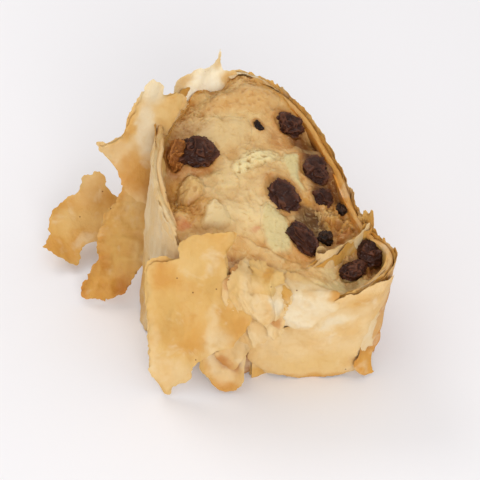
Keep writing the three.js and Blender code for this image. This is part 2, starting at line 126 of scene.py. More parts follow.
TONES = {
    "white": srgb(218, 202, 172),
    "cream": srgb(214, 188, 146),
    "pale": srgb(213, 181, 131),
    "straw": srgb(208, 171, 109),
    "gold": srgb(201, 157, 86),
    "orange": srgb(196, 143, 63),
    "toast": srgb(178, 120, 56),
    "brown": srgb(160, 100, 42),
    "umber": srgb(112, 66, 26),
    "dark": srgb(62, 34, 18),
    "crust": srgb(180, 126, 60),
    "tan": srgb(204, 158, 94),
    "mash": srgb(206, 164, 102),
    "flesh": srgb(212, 182, 128),
    "light_flesh": srgb(222, 196, 144),
    "green_flesh": srgb(208, 190, 138),
    "lemon": srgb(224, 206, 154),
    # A glow colour: the painted glow on the inside of the right wall.
    "glow_juice_and_shade": srgb(222, 144, 48),
    "rose": srgb(198, 120, 76),
    "glassy": srgb(204, 188, 136),
    "olive": srgb(98, 62, 18),
    "snow": srgb(242, 232, 208),
}


# ---------------------------------------------------------------- noise

def lattice(ix, iy, iz, seed):
    """A fixed number from -1 to 1 for each lattice point."""
    n = (ix * 374761393 + iy * 668265263 + iz * 1274126177 + seed * 974634777) & 0xFFFFFFFF
    n = ((n ^ (n >> 13)) * 1103515245) & 0xFFFFFFFF
    n = (n ^ (n >> 16)) & 0xFFFFFFFF
    return n.astype(float) / 0x7FFFFFFF - 1.0


def noise(x, y, z=0.0, seed=0):
    """Smooth value noise from -1 to 1 with cells of size 1."""
    x, y, z = np.broadcast_arrays(np.asarray(x, float), np.asarray(y, float), np.asarray(z, float))
    fx, fy, fz = np.floor(x), np.floor(y), np.floor(z)
    ix, iy, iz = fx.astype(np.int64), fy.astype(np.int64), fz.astype(np.int64)
    tx, ty, tz = (t * t * t * (t * (t * 6 - 15) + 10) for t in (x - fx, y - fy, z - fz))
    total = np.zeros(x.shape)
    for i in (0, 1):
        wx = tx if i else 1 - tx
        for j in (0, 1):
            wy = ty if j else 1 - ty
            for k in (0, 1):
                wz = tz if k else 1 - tz
                total += wx * wy * wz * lattice(ix + i, iy + j, iz + k, seed)
    return total


def fractal(x, y, z=0.0, octaves=4, seed=0):
    total, size, scale = 0.0, 1.0, 1.0
    for k in range(octaves):
        total = total + size * noise(x * scale + 17 * k, y * scale - 5 * k, z * scale + 9 * k, seed + k)
        size *= 0.5
        scale *= 2.03
    return total


def ridges(x, y, z=0.0, octaves=3, seed=0):
    """Sharp creases: 1 along the crease and lower away from it."""
    total, size, scale = 0.0, 1.0, 1.0
    for k in range(octaves):
        total = total + size * (1 - 2 * np.abs(noise(x * scale, y * scale, z * scale, seed + k)))
        size *= 0.5
        scale *= 2.1
    return total


def chunks(x, y, cell, seed):
    """Flat-topped crumbs of about `cell` mm: their uneven height, and the gap between them from 0 to 1."""
    gx, gy = np.floor(x / cell), np.floor(y / cell)
    near = np.full(x.shape, 9.0)
    second = near.copy()
    height = np.zeros(x.shape)
    for i in (-1, 0, 1):
        for j in (-1, 0, 1):
            ix, iy = (gx + i).astype(np.int64), (gy + j).astype(np.int64)
            iz = np.zeros_like(ix)
            dx = x / cell - (ix + 0.5 + 0.42 * lattice(ix, iy, iz, seed))
            dy = y / cell - (iy + 0.5 + 0.42 * lattice(ix, iy, iz, seed + 1))
            distance = np.hypot(dx, dy)
            tilt = dx * lattice(ix, iy, iz, seed + 2) + dy * lattice(ix, iy, iz, seed + 3)
            level = tilt + 0.5 * lattice(ix, iy, iz, seed + 4)
            closer = distance < near
            second = np.where(closer, near, np.minimum(second, distance))
            height = np.where(closer, level, height)
            near = np.minimum(near, distance)
    return height, np.exp(-(second - near) / 0.09)


def smooth_step(value, low, high):
    t = np.clip((value - low) / (high - low), 0, 1)
    return t * t * (3 - 2 * t)


def turned(x, y, degrees):
    """The same offset in axes that are turned by so many degrees."""
    c, s = math.cos(math.radians(degrees)), math.sin(math.radians(degrees))
    return c * x + s * y, c * y - s * x


def flat_tone(name):
    return np.array(TONES[name][:3])


def blend(first, second, share):
    """Part of the way, from 0 to 1, from the first to the second."""
    return first * (1 - share) + second * share


def tint(x, y, base, areas, seed):
    """Colours at points: a base tone and soft areas (x, y, radius x, radius y, turn, tone, strength)."""
    wx = 1.2 * fractal(x / 4, y / 4, 1.5, 3, seed)
    wy = 1.2 * fractal(x / 4, y / 4, 6.5, 3, seed + 7)
    total = np.ones(np.shape(x))
    colour = np.multiply.outer(total, flat_tone(base))
    for cx, cy, rx, ry, turn, tone, strength in areas:
        dx, dy = turned(x + wx - cx, y + wy - cy, turn)
        q = (dx / rx) ** 2 + (dy / ry) ** 2
        weight = 7 * strength * np.exp(-1.6 * q ** 1.4)
        total = total + weight
        colour = colour + weight[:, None] * flat_tone(tone)
    return colour / total[:, None]


# ---------------------------------------------------------------- the wall's surface

def curve_through(ring, places):
    """A Catmull-Rom curve through a ring of points, at places that are counted in points."""
    i = places.astype(int)
    s = (places - i)[:, None]
    p0, p1, p2, p3 = (ring[(i + k) % len(ring)] for k in (-1, 0, 1, 2))
    return 0.5 * (2 * p1 + (p2 - p0) * s + (2 * p0 - 5 * p1 + 4 * p2 - p3) * s ** 2
                  + (3 * p1 - p0 - 3 * p2 + p3) * s ** 3)


def closed_curve(points, count):
    return curve_through(points, np.arange(count) / count * len(points))


def open_curve(points, count):
    """The curve with open ends, steered by one more point past each end."""
    beyond = [2 * points[-1] - points[-2], 2 * points[0] - points[1]]
    return curve_through(np.concatenate([points, beyond]), np.linspace(0, len(points) - 1 - 1e-9, count))


class Wall:
    """The pastry wall's outer face: a is the way round it in mm, from the front left, and z the height."""

    def __init__(self, columns):
        feet = np.column_stack([OUTLINE[:, 3:], np.zeros(len(OUTLINE))])
        self.rim = closed_curve(OUTLINE[:, :3], columns)
        self.foot = closed_curve(feet, columns)
        middle = (self.rim + self.foot)[:, :2] / 2
        steps = np.linalg.norm(np.roll(middle, -1, 0) - middle, axis=1)
        self.way = np.concatenate([[0], np.cumsum(steps)])
        self.length = self.way[-1]
        along = sum(np.roll(c, -1, 0) - np.roll(c, 1, 0) for c in (self.rim, self.foot))
        self.out = np.column_stack([along[:, 1], -along[:, 0]])
        self.out /= np.linalg.norm(self.out, axis=1)[:, None]

    def at(self, values, a):
        return np.interp(np.asarray(a) % self.length, self.way, np.append(values, values[0]))

    def rim_height(self, a):
        return self.at(self.rim[:, 2], a)

    def point(self, a, z, offset):
        part = np.asarray(z) / self.rim_height(a)
        xy = [self.at(self.foot[:, k], a) * (1 - part) + self.at(self.rim[:, k], a) * part
              + self.at(self.out[:, k], a) * offset for k in (0, 1)]
        return np.stack([*xy, np.broadcast_to(z, np.shape(xy[0]))], -1)


wall = Wall(columns=720)


def profile(stations, a):
    """A value that changes along the wall, from (way, value) stations, joined up at the end."""
    ways, values = np.array(stations, float).T
    ways = np.concatenate([ways, [ways[0] + wall.length]])
    a = (np.asarray(a) - ways[0]) % wall.length + ways[0]
    return np.interp(a, ways, np.append(values, values[0]))


class Plane:
    """A plane that stands at a point, faces the front, is turned about Z and leans to the back."""

    def __init__(self, at, turn, lean):
        turn, lean = math.radians(turn), math.radians(lean)
        self.at = np.array(at, float)
        self.u = np.array([math.cos(turn), math.sin(turn), 0])
        back = np.array([-math.sin(turn), math.cos(turn), 0])
        self.v = math.sin(lean) * back + np.array([0, 0, math.cos(lean)])
        self.w = np.cross(self.u, self.v)

    def point(self, u, v, w):
        place = self.at
        for distance, axis in ((u, self.u), (v, self.v), (w, self.w)):
            place = place + np.multiply.outer(distance, axis)
        return place


def face_height(x, y):
    """Height of the plane in which the slice was cut."""
    return FACE_HEIGHT + FACE_RIGHT * x + FACE_BACK * y


def mound_height(x, y):
    """Height of the mash without its fine relief."""
    height = face_height(x, y) - MASH_DROP
    for mx, my, radius, rise in MOUNDS:
        height = height + rise * np.exp(-((x - mx) ** 2 + (y - my) ** 2) / radius ** 2)
    return height


class Fold:
    """A sheet folded over the rim: a is the way along the wall, t goes up it (below 0) and inwards."""

    def __init__(self, rounding, rise):
        self.rounding, self.rise = rounding, rise

    def point(self, a, t, w):
        k = self.rounding
        down = k * np.log1p(np.exp(-t / k))
        inward = k * np.log1p(np.exp(t / k))
        upward = 1 / (1 + np.exp(-t / k))
        top = wall.rim_height(a) + self.rise
        place = wall.point(a, top, FOLD_OUT - inward + w * (1 - upward))
        inside_height = mound_height(place[..., 0], place[..., 1]) + FOLD_UP
        level = top + (inside_height - top) * smooth_step(t, 0.0, FOLD_SETTLE)
        place[..., 2] = level - down + w * upward
        return place


FRONT_FOLD = Fold(rounding=1.7, rise=1.6)  # thick dough over the rim at the front
LIP_FOLD = Fold(rounding=0.9, rise=0.3)  # a thin strip over the rim elsewhere


# ---------------------------------------------------------------- meshes

def add_mesh(name, points, faces, material):
    """Makes an object of points in slice millimetres and hands it to the body."""
    points = np.asarray(points) + FRAME_SHIFT
    points[:, 2] = np.maximum(points[:, 2], FLOOR_GAP)
    mesh = bpy.data.meshes.new(name)
    mesh.from_pydata((points * MM).tolist(), [], [list(f) for f in faces])
    mesh.validate()
    mesh.materials.append(material)
    mesh.shade_smooth()
    piece = bpy.data.objects.new(name, mesh)
    bpy.context.scene.collection.objects.link(piece)
    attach(piece, "root")
    return piece


def set_values(piece, name, values):
    """A number at each point, or one number for all of them."""
    layer = piece.data.attributes.new(name, "FLOAT", "POINT")
    layer.data.foreach_set("value", np.full(len(layer.data), values, np.float32))


def set_tone(piece, colours):
    layer = piece.data.attributes.new("tone", "FLOAT_COLOR", "POINT")
    colours = np.column_stack([colours, np.ones(len(colours))])
    layer.data.foreach_set("color", colours.astype(np.float32).ravel())


def pastry_mesh(name, points, faces, tones, edges, fold_shades=0.0):
    """A piece of pastry: its tones, how near its torn edge each point is and how deep in a fold, where shade
    is painted.
    """
    piece = add_mesh(name, points, faces, PASTRY)
    piece.data.set_sharp_from_angle(angle=math.radians(CRISP_EDGE))
    set_tone(piece, tones)
    set_values(piece, "edge", edges)
    set_values(piece, "fold_shade", fold_shades)
    return piece


def both_sides(steps):
    """Steps up one side of a sheet and down the other: the side, 1 or -1, and how far up, from 0 to 1."""
    up = [(1, step / steps) for step in range(steps + 1)]
    return up + [(-1, part) for _, part in reversed(up)]


def band_mesh(name, loops, tones, edges=0.0, closed=True):
    """Pastry made of rows of points, up one side and down the other. It goes right round or has two ends."""
    rows, columns = len(loops), len(loops[0])
    count = rows * columns
    i = np.arange(0, count, columns)[:, None]
    above = (i + columns) % count
    j = np.arange(columns if closed else columns - 1)
    k = (j + 1) % columns
    faces = np.stack([i + j, i + k, above + k, above + j], -1).reshape(-1, 4).tolist()
    if not closed:
        faces += [range(0, count, columns), range(count - 1, 0, -columns)]
    return pastry_mesh(name, np.concatenate(loops), faces, np.concatenate(tones), edges)


def densify(outline, spacing):
    """The outline with points about `spacing` apart."""
    points = []
    for p, q in zip(outline, np.roll(outline, -1, 0)):
        count = max(1, int(round(np.linalg.norm(q - p) / spacing)))
        points.extend(p + (q - p) * k / count for k in range(count))
    return np.array(points)


def round_corners(outline, passes):
    """Cuts corners, so that a drawn outline bends as torn dough does."""
    for _ in range(passes):
        ahead = np.roll(outline, -1, 0)
        outline = np.stack([0.75 * outline + 0.25 * ahead, 0.25 * outline + 0.75 * ahead], 1).reshape(-1, 2)
    return outline


def normals_of(points):
    """Which way is out at each point of an anticlockwise outline."""
    along = np.roll(points, -1, 0) - np.roll(points, 1, 0)
    out = np.column_stack([along[:, 1], -along[:, 0]])
    return out / (np.linalg.norm(out, axis=1)[:, None] + 1e-9)


def turned_left(outline):
    """The outline in anticlockwise order."""
    return outline if np.cross(outline, np.roll(outline, -1, 0)).sum() > 0 else outline[::-1]


def torn(outline, spacing, depth, seed, spread=0.0):
    """The outline with a torn edge: soft waves, pointed teeth and a few notches."""
    wave, tooth, notch, lobe = 4.0, 2.4, 2.3, 8.0  # how long each is
    points = densify(round_corners(turned_left(np.asarray(outline, float)), 1), spacing)
    way = np.arange(len(points)) * spacing
    waves = fractal(way / wave, seed * 3.1, 0, 2, seed)
    teeth = 0.3 - np.abs(fractal(way / tooth, seed * 1.7, 0, 2, seed + 5))
    notches = smooth_step(noise(way / notch, seed * 2.3, 0, seed + 9), 0.4, 0.8)
    lobes = spread * (0.2 + noise(way / lobe, seed * 0.9, 0, seed + 13))
    shift = depth * (0.4 * waves + 0.9 * teeth - 0.8 * notches) + lobes
    return points + normals_of(points) * shift[:, None]


def inside(points, outline):
    """Which points lie inside a closed outline."""
    x, y = points[:, 0], points[:, 1]
    odd = np.zeros(len(points), bool)
    for (ax, ay), (bx, by) in zip(outline, np.roll(outline, -1, 0)):
        if ay != by:
            crossing = ((ay > y) != (by > y)) & (x < (bx - ax) * (y - ay) / (by - ay) + ax)
            odd ^= crossing
    return odd


def edge_distance(points, outline):
    """How far each point is from the nearest stretch of a closed outline."""
    best = np.full(len(points), 1e9)
    for start, end in zip(outline, np.roll(outline, -1, 0)):
        step = end - start
        t = np.clip(((points - start) @ step) / max(step @ step, 1e-12), 0, 1)
        gap = points - start - t[:, None] * step
        best = np.minimum(best, (gap * gap).sum(1))
    return np.sqrt(best)


def triangulate(outline, step, seed):
    """Fills an anticlockwise outline with triangles about `step` wide. Gives points and triangles."""
    row_height, jog, clear = 0.87, 0.2, 0.45  # in steps: rows, uneven places, and room at the outline
    low, high = outline.min(0), outline.max(0)
    xs = np.arange(low[0], high[0], step)
    ys = np.arange(low[1], high[1], step * row_height)
    grid = np.stack(np.meshgrid(xs, ys), -1)
    grid[1::2, :, 0] += step / 2
    grid = grid.reshape(-1, 2)
    jitter = np.stack([noise(grid[:, 0] * 7.3, grid[:, 1] * 7.3, 0, seed + k) for k in (1, 2)], -1)
    grid = grid + jitter * step * jog
    grid = grid[inside(grid, outline)]
    grid = grid[edge_distance(grid, outline) > step * clear]
    count = len(outline)
    edges = [(k, (k + 1) % count) for k in range(count)]
    points = [Vector(p) for p in [*outline, *grid]]
    made, _, faces, _, _, _ = delaunay_2d_cdt(points, edges, [], 1, 1e-5)
    made = np.array([tuple(p) for p in made])
    faces = np.array([f[:3] for f in faces])
    area = np.cross(made[faces[:, 1]] - made[faces[:, 0]], made[faces[:, 2]] - made[faces[:, 0]])
    faces[area < 0] = faces[area < 0][:, ::-1]
    return made, faces


def rim_edges(faces):
    """The directed edges that only one triangle has."""
    edges = np.concatenate([faces[:, [0, 1]], faces[:, [1, 2]], faces[:, [2, 0]]])
    keys = {tuple(e) for e in edges.tolist()}
    return np.array([e for e in keys if (e[1], e[0]) not in keys])


def closed_slab(faces, count):
    """Faces of a slab whose upper points come first and whose lower points follow."""
    border = rim_edges(faces)
    sides = np.column_stack([border[:, 0], border[:, 0] + count, border[:, 1] + count, border[:, 1]])
    return [*faces.tolist(), *(faces[:, ::-1] + count).tolist(), *sides.tolist()]


def crumpling(u, v, crease, seed):
    """How a crumpled sheet is shifted along itself, both ways, and its folds, highest on the creases."""
    shift_u = fractal(u / crease, v / crease, 4.4, 2, seed + 5)
    shift_v = fractal(u / crease, v / crease, 8.8, 2, seed + 6)
    folds = ridges((u + 1.5 * shift_u) / crease, (v + 1.5 * shift_v) / crease, 1.1, 3, seed + 8)
    return shift_u, shift_v, folds


def sheet(name, surface, outline, relief, tone, *, areas=(), step=0.6, tear=0.7, seed=0, curl=0.5,
          crumple=0.0, crease=5.0, under=0):
    """A closed thin sheet of pastry on a surface. Its torn edge thins out and curls.

    `under` more sheets lie behind it, each with its own torn edge."""
    for layer in range(under + 1):
        here = seed + 31 * layer
        edge = torn(outline, step * 0.7, tear, here, UNDER_SPREAD if layer else 0.0)
        flat, faces = triangulate(edge, step, here)
        distance = edge_distance(flat, edge)
        u, v = flat.T
        lift = relief(u, v) - UNDER_GAP * layer * (1 + 0.4 * fractal(u / 6, v / 6, 2.2, 2, here + 1))
        bend = curl * np.exp(-distance / CURL_REACH) * (0.3 + 1.2 * fractal(u / 6, v / 6, 3.7, 2, here + 3))
        lift = lift + (bend if layer == 0 else np.minimum(bend, 0))
        depth = np.zeros(len(u))
        if crumple:
            shift_u, shift_v, folds = crumpling(u, v, crease, seed)
            lift = lift + crumple * (0.6 * folds - 0.3)
            u, v = u + crumple * 0.55 * shift_u, v + crumple * 0.55 * shift_v
            # How deep in a fold each point lies: the material paints shade there.
            depth = np.clip(0.5 - 0.5 * folds, 0, 1)
        half = SHEET / 2 * (EDGE_SHARE + (1 - EDGE_SHARE) * np.clip(distance / THINNING, 0, 1))
        points = np.concatenate([surface.point(u, v, lift + half), surface.point(u, v, lift - half)])
        tones = tint(*flat.T, tone, areas, here)
        pastry_mesh(f"{name}_under_{layer}" if layer else name, points, closed_slab(faces, len(u)),
                    np.tile(tones, (2, 1)), np.tile(np.exp(-distance / 0.7), 2), np.tile(depth, 2))


def wavy(height, length, phase, bow_u, bow_v, middle, seed):
    """The relief of a loose sheet: the wave that its solid has, with pleats, blisters and creases."""
    turns = 2 * math.pi / length

    def relief(u, v):
        ripple = height * np.sin(turns * u + phase) * np.cos(0.7 * turns * v + 2 * phase)
        bow = bow_u * (u - middle[0]) ** 2 + bow_v * (v - middle[1]) ** 2
        pleats = 0.35 * fractal(u / 3.4, v / 11, seed * 1.9, 2, seed + 21)
        blisters = 0.3 * fractal(u / 5.5, v / 5.5, seed * 1.3, 3, seed)
        creases = 0.16 * ridges(u / 4.6, v / 7.4, seed * 0.7, 2, seed + 11)
        return ripple + bow + pleats + blisters + creases
    return relief


# ---------------------------------------------------------------- materials

class Nodes:
    """Short ways to add shader nodes to one material. Noise and cells have their sizes in millimetres."""

    def __init__(self, name):
        self.material = bpy.data.materials.new(name)
        self.material.use_nodes = True
        self.tree = self.material.node_tree
        self.shader = self.tree.nodes["Principled BSDF"]
        self.place = self.add("ShaderNodeTexCoord").outputs["Object"]

    def add(self, kind, **settings):
        node = self.tree.nodes.new(kind)
        for key, value in settings.items():
            setattr(node, key, value)
        return node

    def put(self, socket, value):
        if isinstance(value, (int, float, tuple)):
            socket.default_value = value
        else:
            self.tree.links.new(value, socket)

    def set(self, **values):
        for key, value in values.items():
            self.shader.inputs[key.replace("_", " ")].default_value = value

    def use(self, kind, output, values, **settings):
        """Adds a node with values or links at its named inputs. Gives one output."""
        node = self.add(kind, **settings)
        for key, value in values.items():
            self.put(node.inputs[key], value)
        return node.outputs[output]

    def shifted(self, offset, stretch=(1, 1, 1)):
        values = {"Location": (offset, offset * 0.7, -offset), "Scale": stretch, "Vector": self.place}
        return self.use("ShaderNodeMapping", 0, values)

    def noise(self, size, detail=3.0, roughness=0.55, distortion=0.0, offset=0.0, stretch=(1, 1, 1)):
        """Noise whose blotches are about `size` mm wide, from 0 to 1."""
        return self.use("ShaderNodeTexNoise", "Fac", {
            "Scale": 1 / (size * MM), "Detail": detail, "Roughness": roughness, "Distortion": distortion,
            "Vector": self.shifted(offset, stretch)})

    def cells(self, size, offset=0.0):
        values = {"Scale": 1 / (size * MM), "Vector": self.shifted(offset)}
        return self.use("ShaderNodeTexVoronoi", "Distance", values)

    def blue(self, colour):
        return self.use("ShaderNodeSeparateColor", 2, {0: colour})

    def attribute(self, name, output="Fac"):
        return self.add("ShaderNodeAttribute", attribute_name=name).outputs[output]

    def ramp(self, value, low, high, start=0.0, end=1.0):
        values = {"From Min": low, "From Max": high, "To Min": start, "To Max": end, "Value": value}
        return self.use("ShaderNodeMapRange", "Result", values, interpolation_type="SMOOTHSTEP")

    def math(self, operation, a, b):
        return self.use("ShaderNodeMath", 0, {0: a, 1: b}, operation=operation)

    def times(self, a, b):
        return self.math("MULTIPLY", a, b)

    def mix(self, factor, a, b, blend="MIX"):
        return self.use("ShaderNodeMix", 2, {0: factor, 6: a, 7: b}, data_type="RGBA", blend_type=blend)

    def stain(self, colour, factor, stain):
        """The colour multiplied by a stain where the factor is high."""
        return self.mix(factor, colour, stain, "MULTIPLY")

    def finish(self, colour, roughness, height, depth_mm):
        """Joins colour, roughness and a fine relief to the shader."""
        bump = {"Strength": 1.0, "Distance": depth_mm * MM, "Height": height}
        self.put(self.shader.inputs["Base Color"], colour)
        self.put(self.shader.inputs["Roughness"], roughness)
        self.put(self.shader.inputs["Normal"], self.use("ShaderNodeBump", 0, bump))
        return self.material


def pastry_material():
    """Baked thin dough: its own tone with golden blotches, pale patches, veins and a few specks, and painted
    shade deep in its folds.
    """
    n = Nodes("baked_pastry")
    colour = n.attribute("tone", "Color")
    golden = (0.93, 0.82, 0.62, 1)
    fold_shade_tint = (0.88, 0.7, 0.46, 1)
    baked = n.ramp(n.blue(colour), 0.25, 0.42, 1.0, 0.2)  # the palest dough has hardly browned
    wide = n.times(baked, n.ramp(n.noise(13, 3, 0.55, 0.4, 0.1), 0.42, 0.66, 0, 0.8))
    small = n.times(baked, n.ramp(n.noise(6, 3, 0.6, 0.5, 0.4), 0.56, 0.76, 0, 0.55))
    colour = n.stain(n.stain(colour, wide, golden), small, golden)
    colour = n.mix(n.ramp(n.noise(8, 3, 0.6, 0.3, 0.7), 0.54, 0.74, 0, 0.4), colour, TONES["white"])
    veins = n.noise(2.6, 3, 0.6, 1.4, 0.6, (1, 1, 0.6))
    colour = n.stain(colour, n.ramp(veins, 0.52, 0.74, 0, 0.3), golden)
    # Painted shade: darker deep in the folds.
    colour = n.stain(colour, n.times(n.attribute("fold_shade"), 0.7), fold_shade_tint)
    colour = n.mix(n.ramp(n.cells(8, 0.3), 0.045, 0.025, 0, 0.8), colour, TONES["umber"])
    colour = n.stain(colour, n.times(n.attribute("edge"), 0.5), golden)
    n.set(Subsurface_Weight=0.3, Subsurface_Scale=0.001, Subsurface_Radius=(0.8, 0.7, 0.5),
          Specular_IOR_Level=0.35, IOR=1.42)
    grain = n.noise(1.0, 4, 0.6, 0.3, 0.9)
    height = n.math("ADD", grain, n.times(veins, 1.6))
    return n.finish(colour, n.ramp(grain, 0.2, 0.8, 0.4, 0.65), height, 0.12)


def filling_material(name, wetness, radius):
    """Cooked fruit: its own tone with fine fibres, translucent, darker in its hollows: juice round the
    raisins, painted shade elsewhere.
    """
    n = Nodes(name)
    colour = n.attribute("tone", "Color")
    fibres = n.noise(2.8, 4, 0.62, 1.6, 0.4)
    colour = n.mix(n.ramp(fibres, 0.5, 0.74, 0, 0.45), colour, TONES["light_flesh"])
    colour = n.stain(colour, n.ramp(fibres, 0.46, 0.3, 0, 0.6), (0.84, 0.66, 0.42, 1))
    # Darker in hollows: painted shade in pits, gaps and low places, and juice round the raisins.
    colour = n.stain(colour, n.times(n.attribute("hollow"), 0.8), (0.68, 0.44, 0.2, 1))
    n.set(Subsurface_Weight=0.35, Subsurface_Scale=0.001, Subsurface_Radius=radius,
          Specular_IOR_Level=0.35, IOR=1.38, Coat_Weight=wetness, Coat_Roughness=0.22)
    grain = n.noise(1.2, 4, 0.62, 0.6, 0.8)
    return n.finish(colour, n.ramp(grain, 0.2, 0.8, 0.32, 0.6), n.math("ADD", grain, fibres), 0.18)


def raisin_material(name, dark, light):
    """Dried grape: dark brown, with a painted sheen that lightens the crests and painted shade that keeps
    the folds dark.
    """
    n = Nodes(name)
    colour = n.mix(n.ramp(n.noise(3, 3, 0.6, 0.3, 0.2), 0.35, 0.7, 0, 0.25), dark, light)
    # Painted sheen: the light colour on the crests.
    colour = n.mix(n.times(n.attribute("crest_sheen"), 0.6), colour, light)
    n.set(Subsurface_Weight=0.12, Subsurface_Scale=0.001, Subsurface_Radius=(0.8, 0.4, 0.2),
          Specular_IOR_Level=0.2, IOR=1.4, Coat_Weight=0.08, Coat_Roughness=0.15)
    grain = n.noise(0.8, 3, 0.6, 0.2, 0.4)
    return n.finish(colour, n.ramp(grain, 0.2, 0.8, 0.3, 0.5), grain, 0.12)


PASTRY = pastry_material()
FILLING = filling_material("cooked_apple_mash", 0.08, (0.9, 0.6, 0.3))
APPLE = filling_material("cooked_apple_piece", 0.15, (1.0, 0.8, 0.5))
RAISIN = {
    "dark": raisin_material("raisin_dark", srgb(46, 21, 13), srgb(102, 60, 40)),
    "amber": raisin_material("raisin_amber", srgb(122, 70, 26), srgb(188, 124, 60)),
    "black": raisin_material("raisin_black", srgb(22, 11, 7), srgb(72, 44, 24)),
}


# ---------------------------------------------------------------- apple pieces and raisins

# Cut apple pieces, as they show in the cut face: tone, rise, dome, roughness, depth, how far in a piece that
# has gone soft runs into the mash round it, and outline.
APPLES = [
    dict(tone="flesh", rise=0.5, dome=0.5, rough=0.12, depth=9, soft=4.5, outline=[
        (-19.6, 5), (-13.2, 9.9), (-4.8, 11.4), (-1.3, 9.5), (-0.5, 4.8), (-1.7, -0.4), (-6, -3.6),
        (-12.5, -5.6), (-15.9, -3.8), (-19, 0.8)]),
    dict(tone="lemon", rise=0.4, dome=0.3, rough=0.75, depth=7, outline=[
        (-6.5, -7.7), (-1, -2), (2.9, 0.2), (9, -0.5), (8.7, -3.3), (5.8, -7.4), (0.9, -9.5),
        (-1.7, -13.5), (-5.2, -15.2), (-7.3, -12.2)]),
    dict(tone="glassy", rise=0.5, dome=0.4, rough=0.1, depth=8, outline=[
        (9.3, -0.9), (15.7, -0.3), (16.4, -2.3), (15.8, -7.7), (16.5, -12.8), (18.5, -15.3),
        (15.8, -16.3), (12.8, -13.6), (10.8, -8.9), (9.1, -4.1)]),
    dict(tone="green_flesh", rise=0.6, dome=0.5, rough=0.1, depth=9, outline=[
        (2.9, -23.9), (6.1, -23.2), (9.4, -26.2), (12.4, -28.4), (13.4, -33.6), (14.1, -39.5),
        (10.6, -41.9), (6.5, -42), (4.2, -38), (3.4, -31.7)]),
    dict(tone="straw", rise=0.8, dome=2.6, rough=0.35, depth=8, outline=[
        (-23.8, -16.9), (-20.9, -14.9), (-17.6, -15.9), (-15.3, -17.5), (-14.8, -21.6), (-16.6, -24.5),
        (-19.7, -26.5), (-22.6, -25.9), (-24.7, -23), (-24.9, -19.3)]),
    dict(tone="light_flesh", rise=0.8, dome=0.8, rough=0.15, depth=9, outline=[
        (-16.3, -36.8), (-14.5, -27.8), (-11.4, -25), (-8, -28.4), (-5.9, -33.7), (-7.1, -36.8),
        (-14, -38.4)]),
    dict(tone="olive", rise=-0.4, dome=-1.2, rough=0.15, depth=7, outline=[
        (16.2, -21.3), (19.8, -21.8), (22.5, -20.4), (23.4, -24.3), (23.1, -29), (20.5, -31.2),
        (17.9, -30.1), (15.9, -26)]),
    dict(tone="mash", rise=0.5, dome=0.9, rough=0.3, depth=9, soft=3.5, outline=[
        (-20.3, 13.7), (-16, 20), (-9, 24.5), (-1.8, 26.8), (5.1, 26), (8.6, 23), (8, 17.7), (2.6, 13.2),
        (-3.1, 12.7), (-9.8, 11.1), (-16.5, 9.6)]),
    dict(tone="toast", rise=0.6, dome=1.2, rough=0.7, depth=6, outline=[
        (28.4, -27.4), (32.3, -25.3), (34.3, -27.4), (33.9, -30.7), (30.9, -32.3), (27.7, -34),
        (26.7, -31.9)]),
]

# Raisins: middle x, y and height above the cut face, size across, to the back and up, turn, kind.
RAISINS = [
    ((-18.5, -7.5, 0.4), (12, 11, 9), 15, "dark"),
    ((-24.9, -9, -1.2), (6.4, 10.4, 9), -12, "amber"),
    ((1.5, 8.5, -0.2), (3.4, 5.2, 4), 30, "black"),
    ((11.6, 12.8, -1.0), (9.5, 9, 8.5), -25, "dark"),
    ((10, -19.5, -0.6), (10, 13, 9), 38, "dark"),
    ((20.6, -5, -2.4), (10.5, 11.5, 9), 20, "dark"),
    ((23.2, -15.2, -3.0), (7, 8.5, 8), -30, "dark"),
    ((17, -35.6, -0.4), (7, 12.5, 8.5), 38, "dark"),
    ((29.6, -18.5, -2.9), (4.2, 5, 5), 10, "black"),
    ((24.6, -33, -1.0), (4.6, 4.8, 4.6), 60, "black"),
    ((38.8, -35.6, -1.2), (8.2, 8.6, 8.5), 20, "dark"),
    ((33.5, -43.2, -1.8), (9.6, 5.8, 7), 24, "dark"),
]

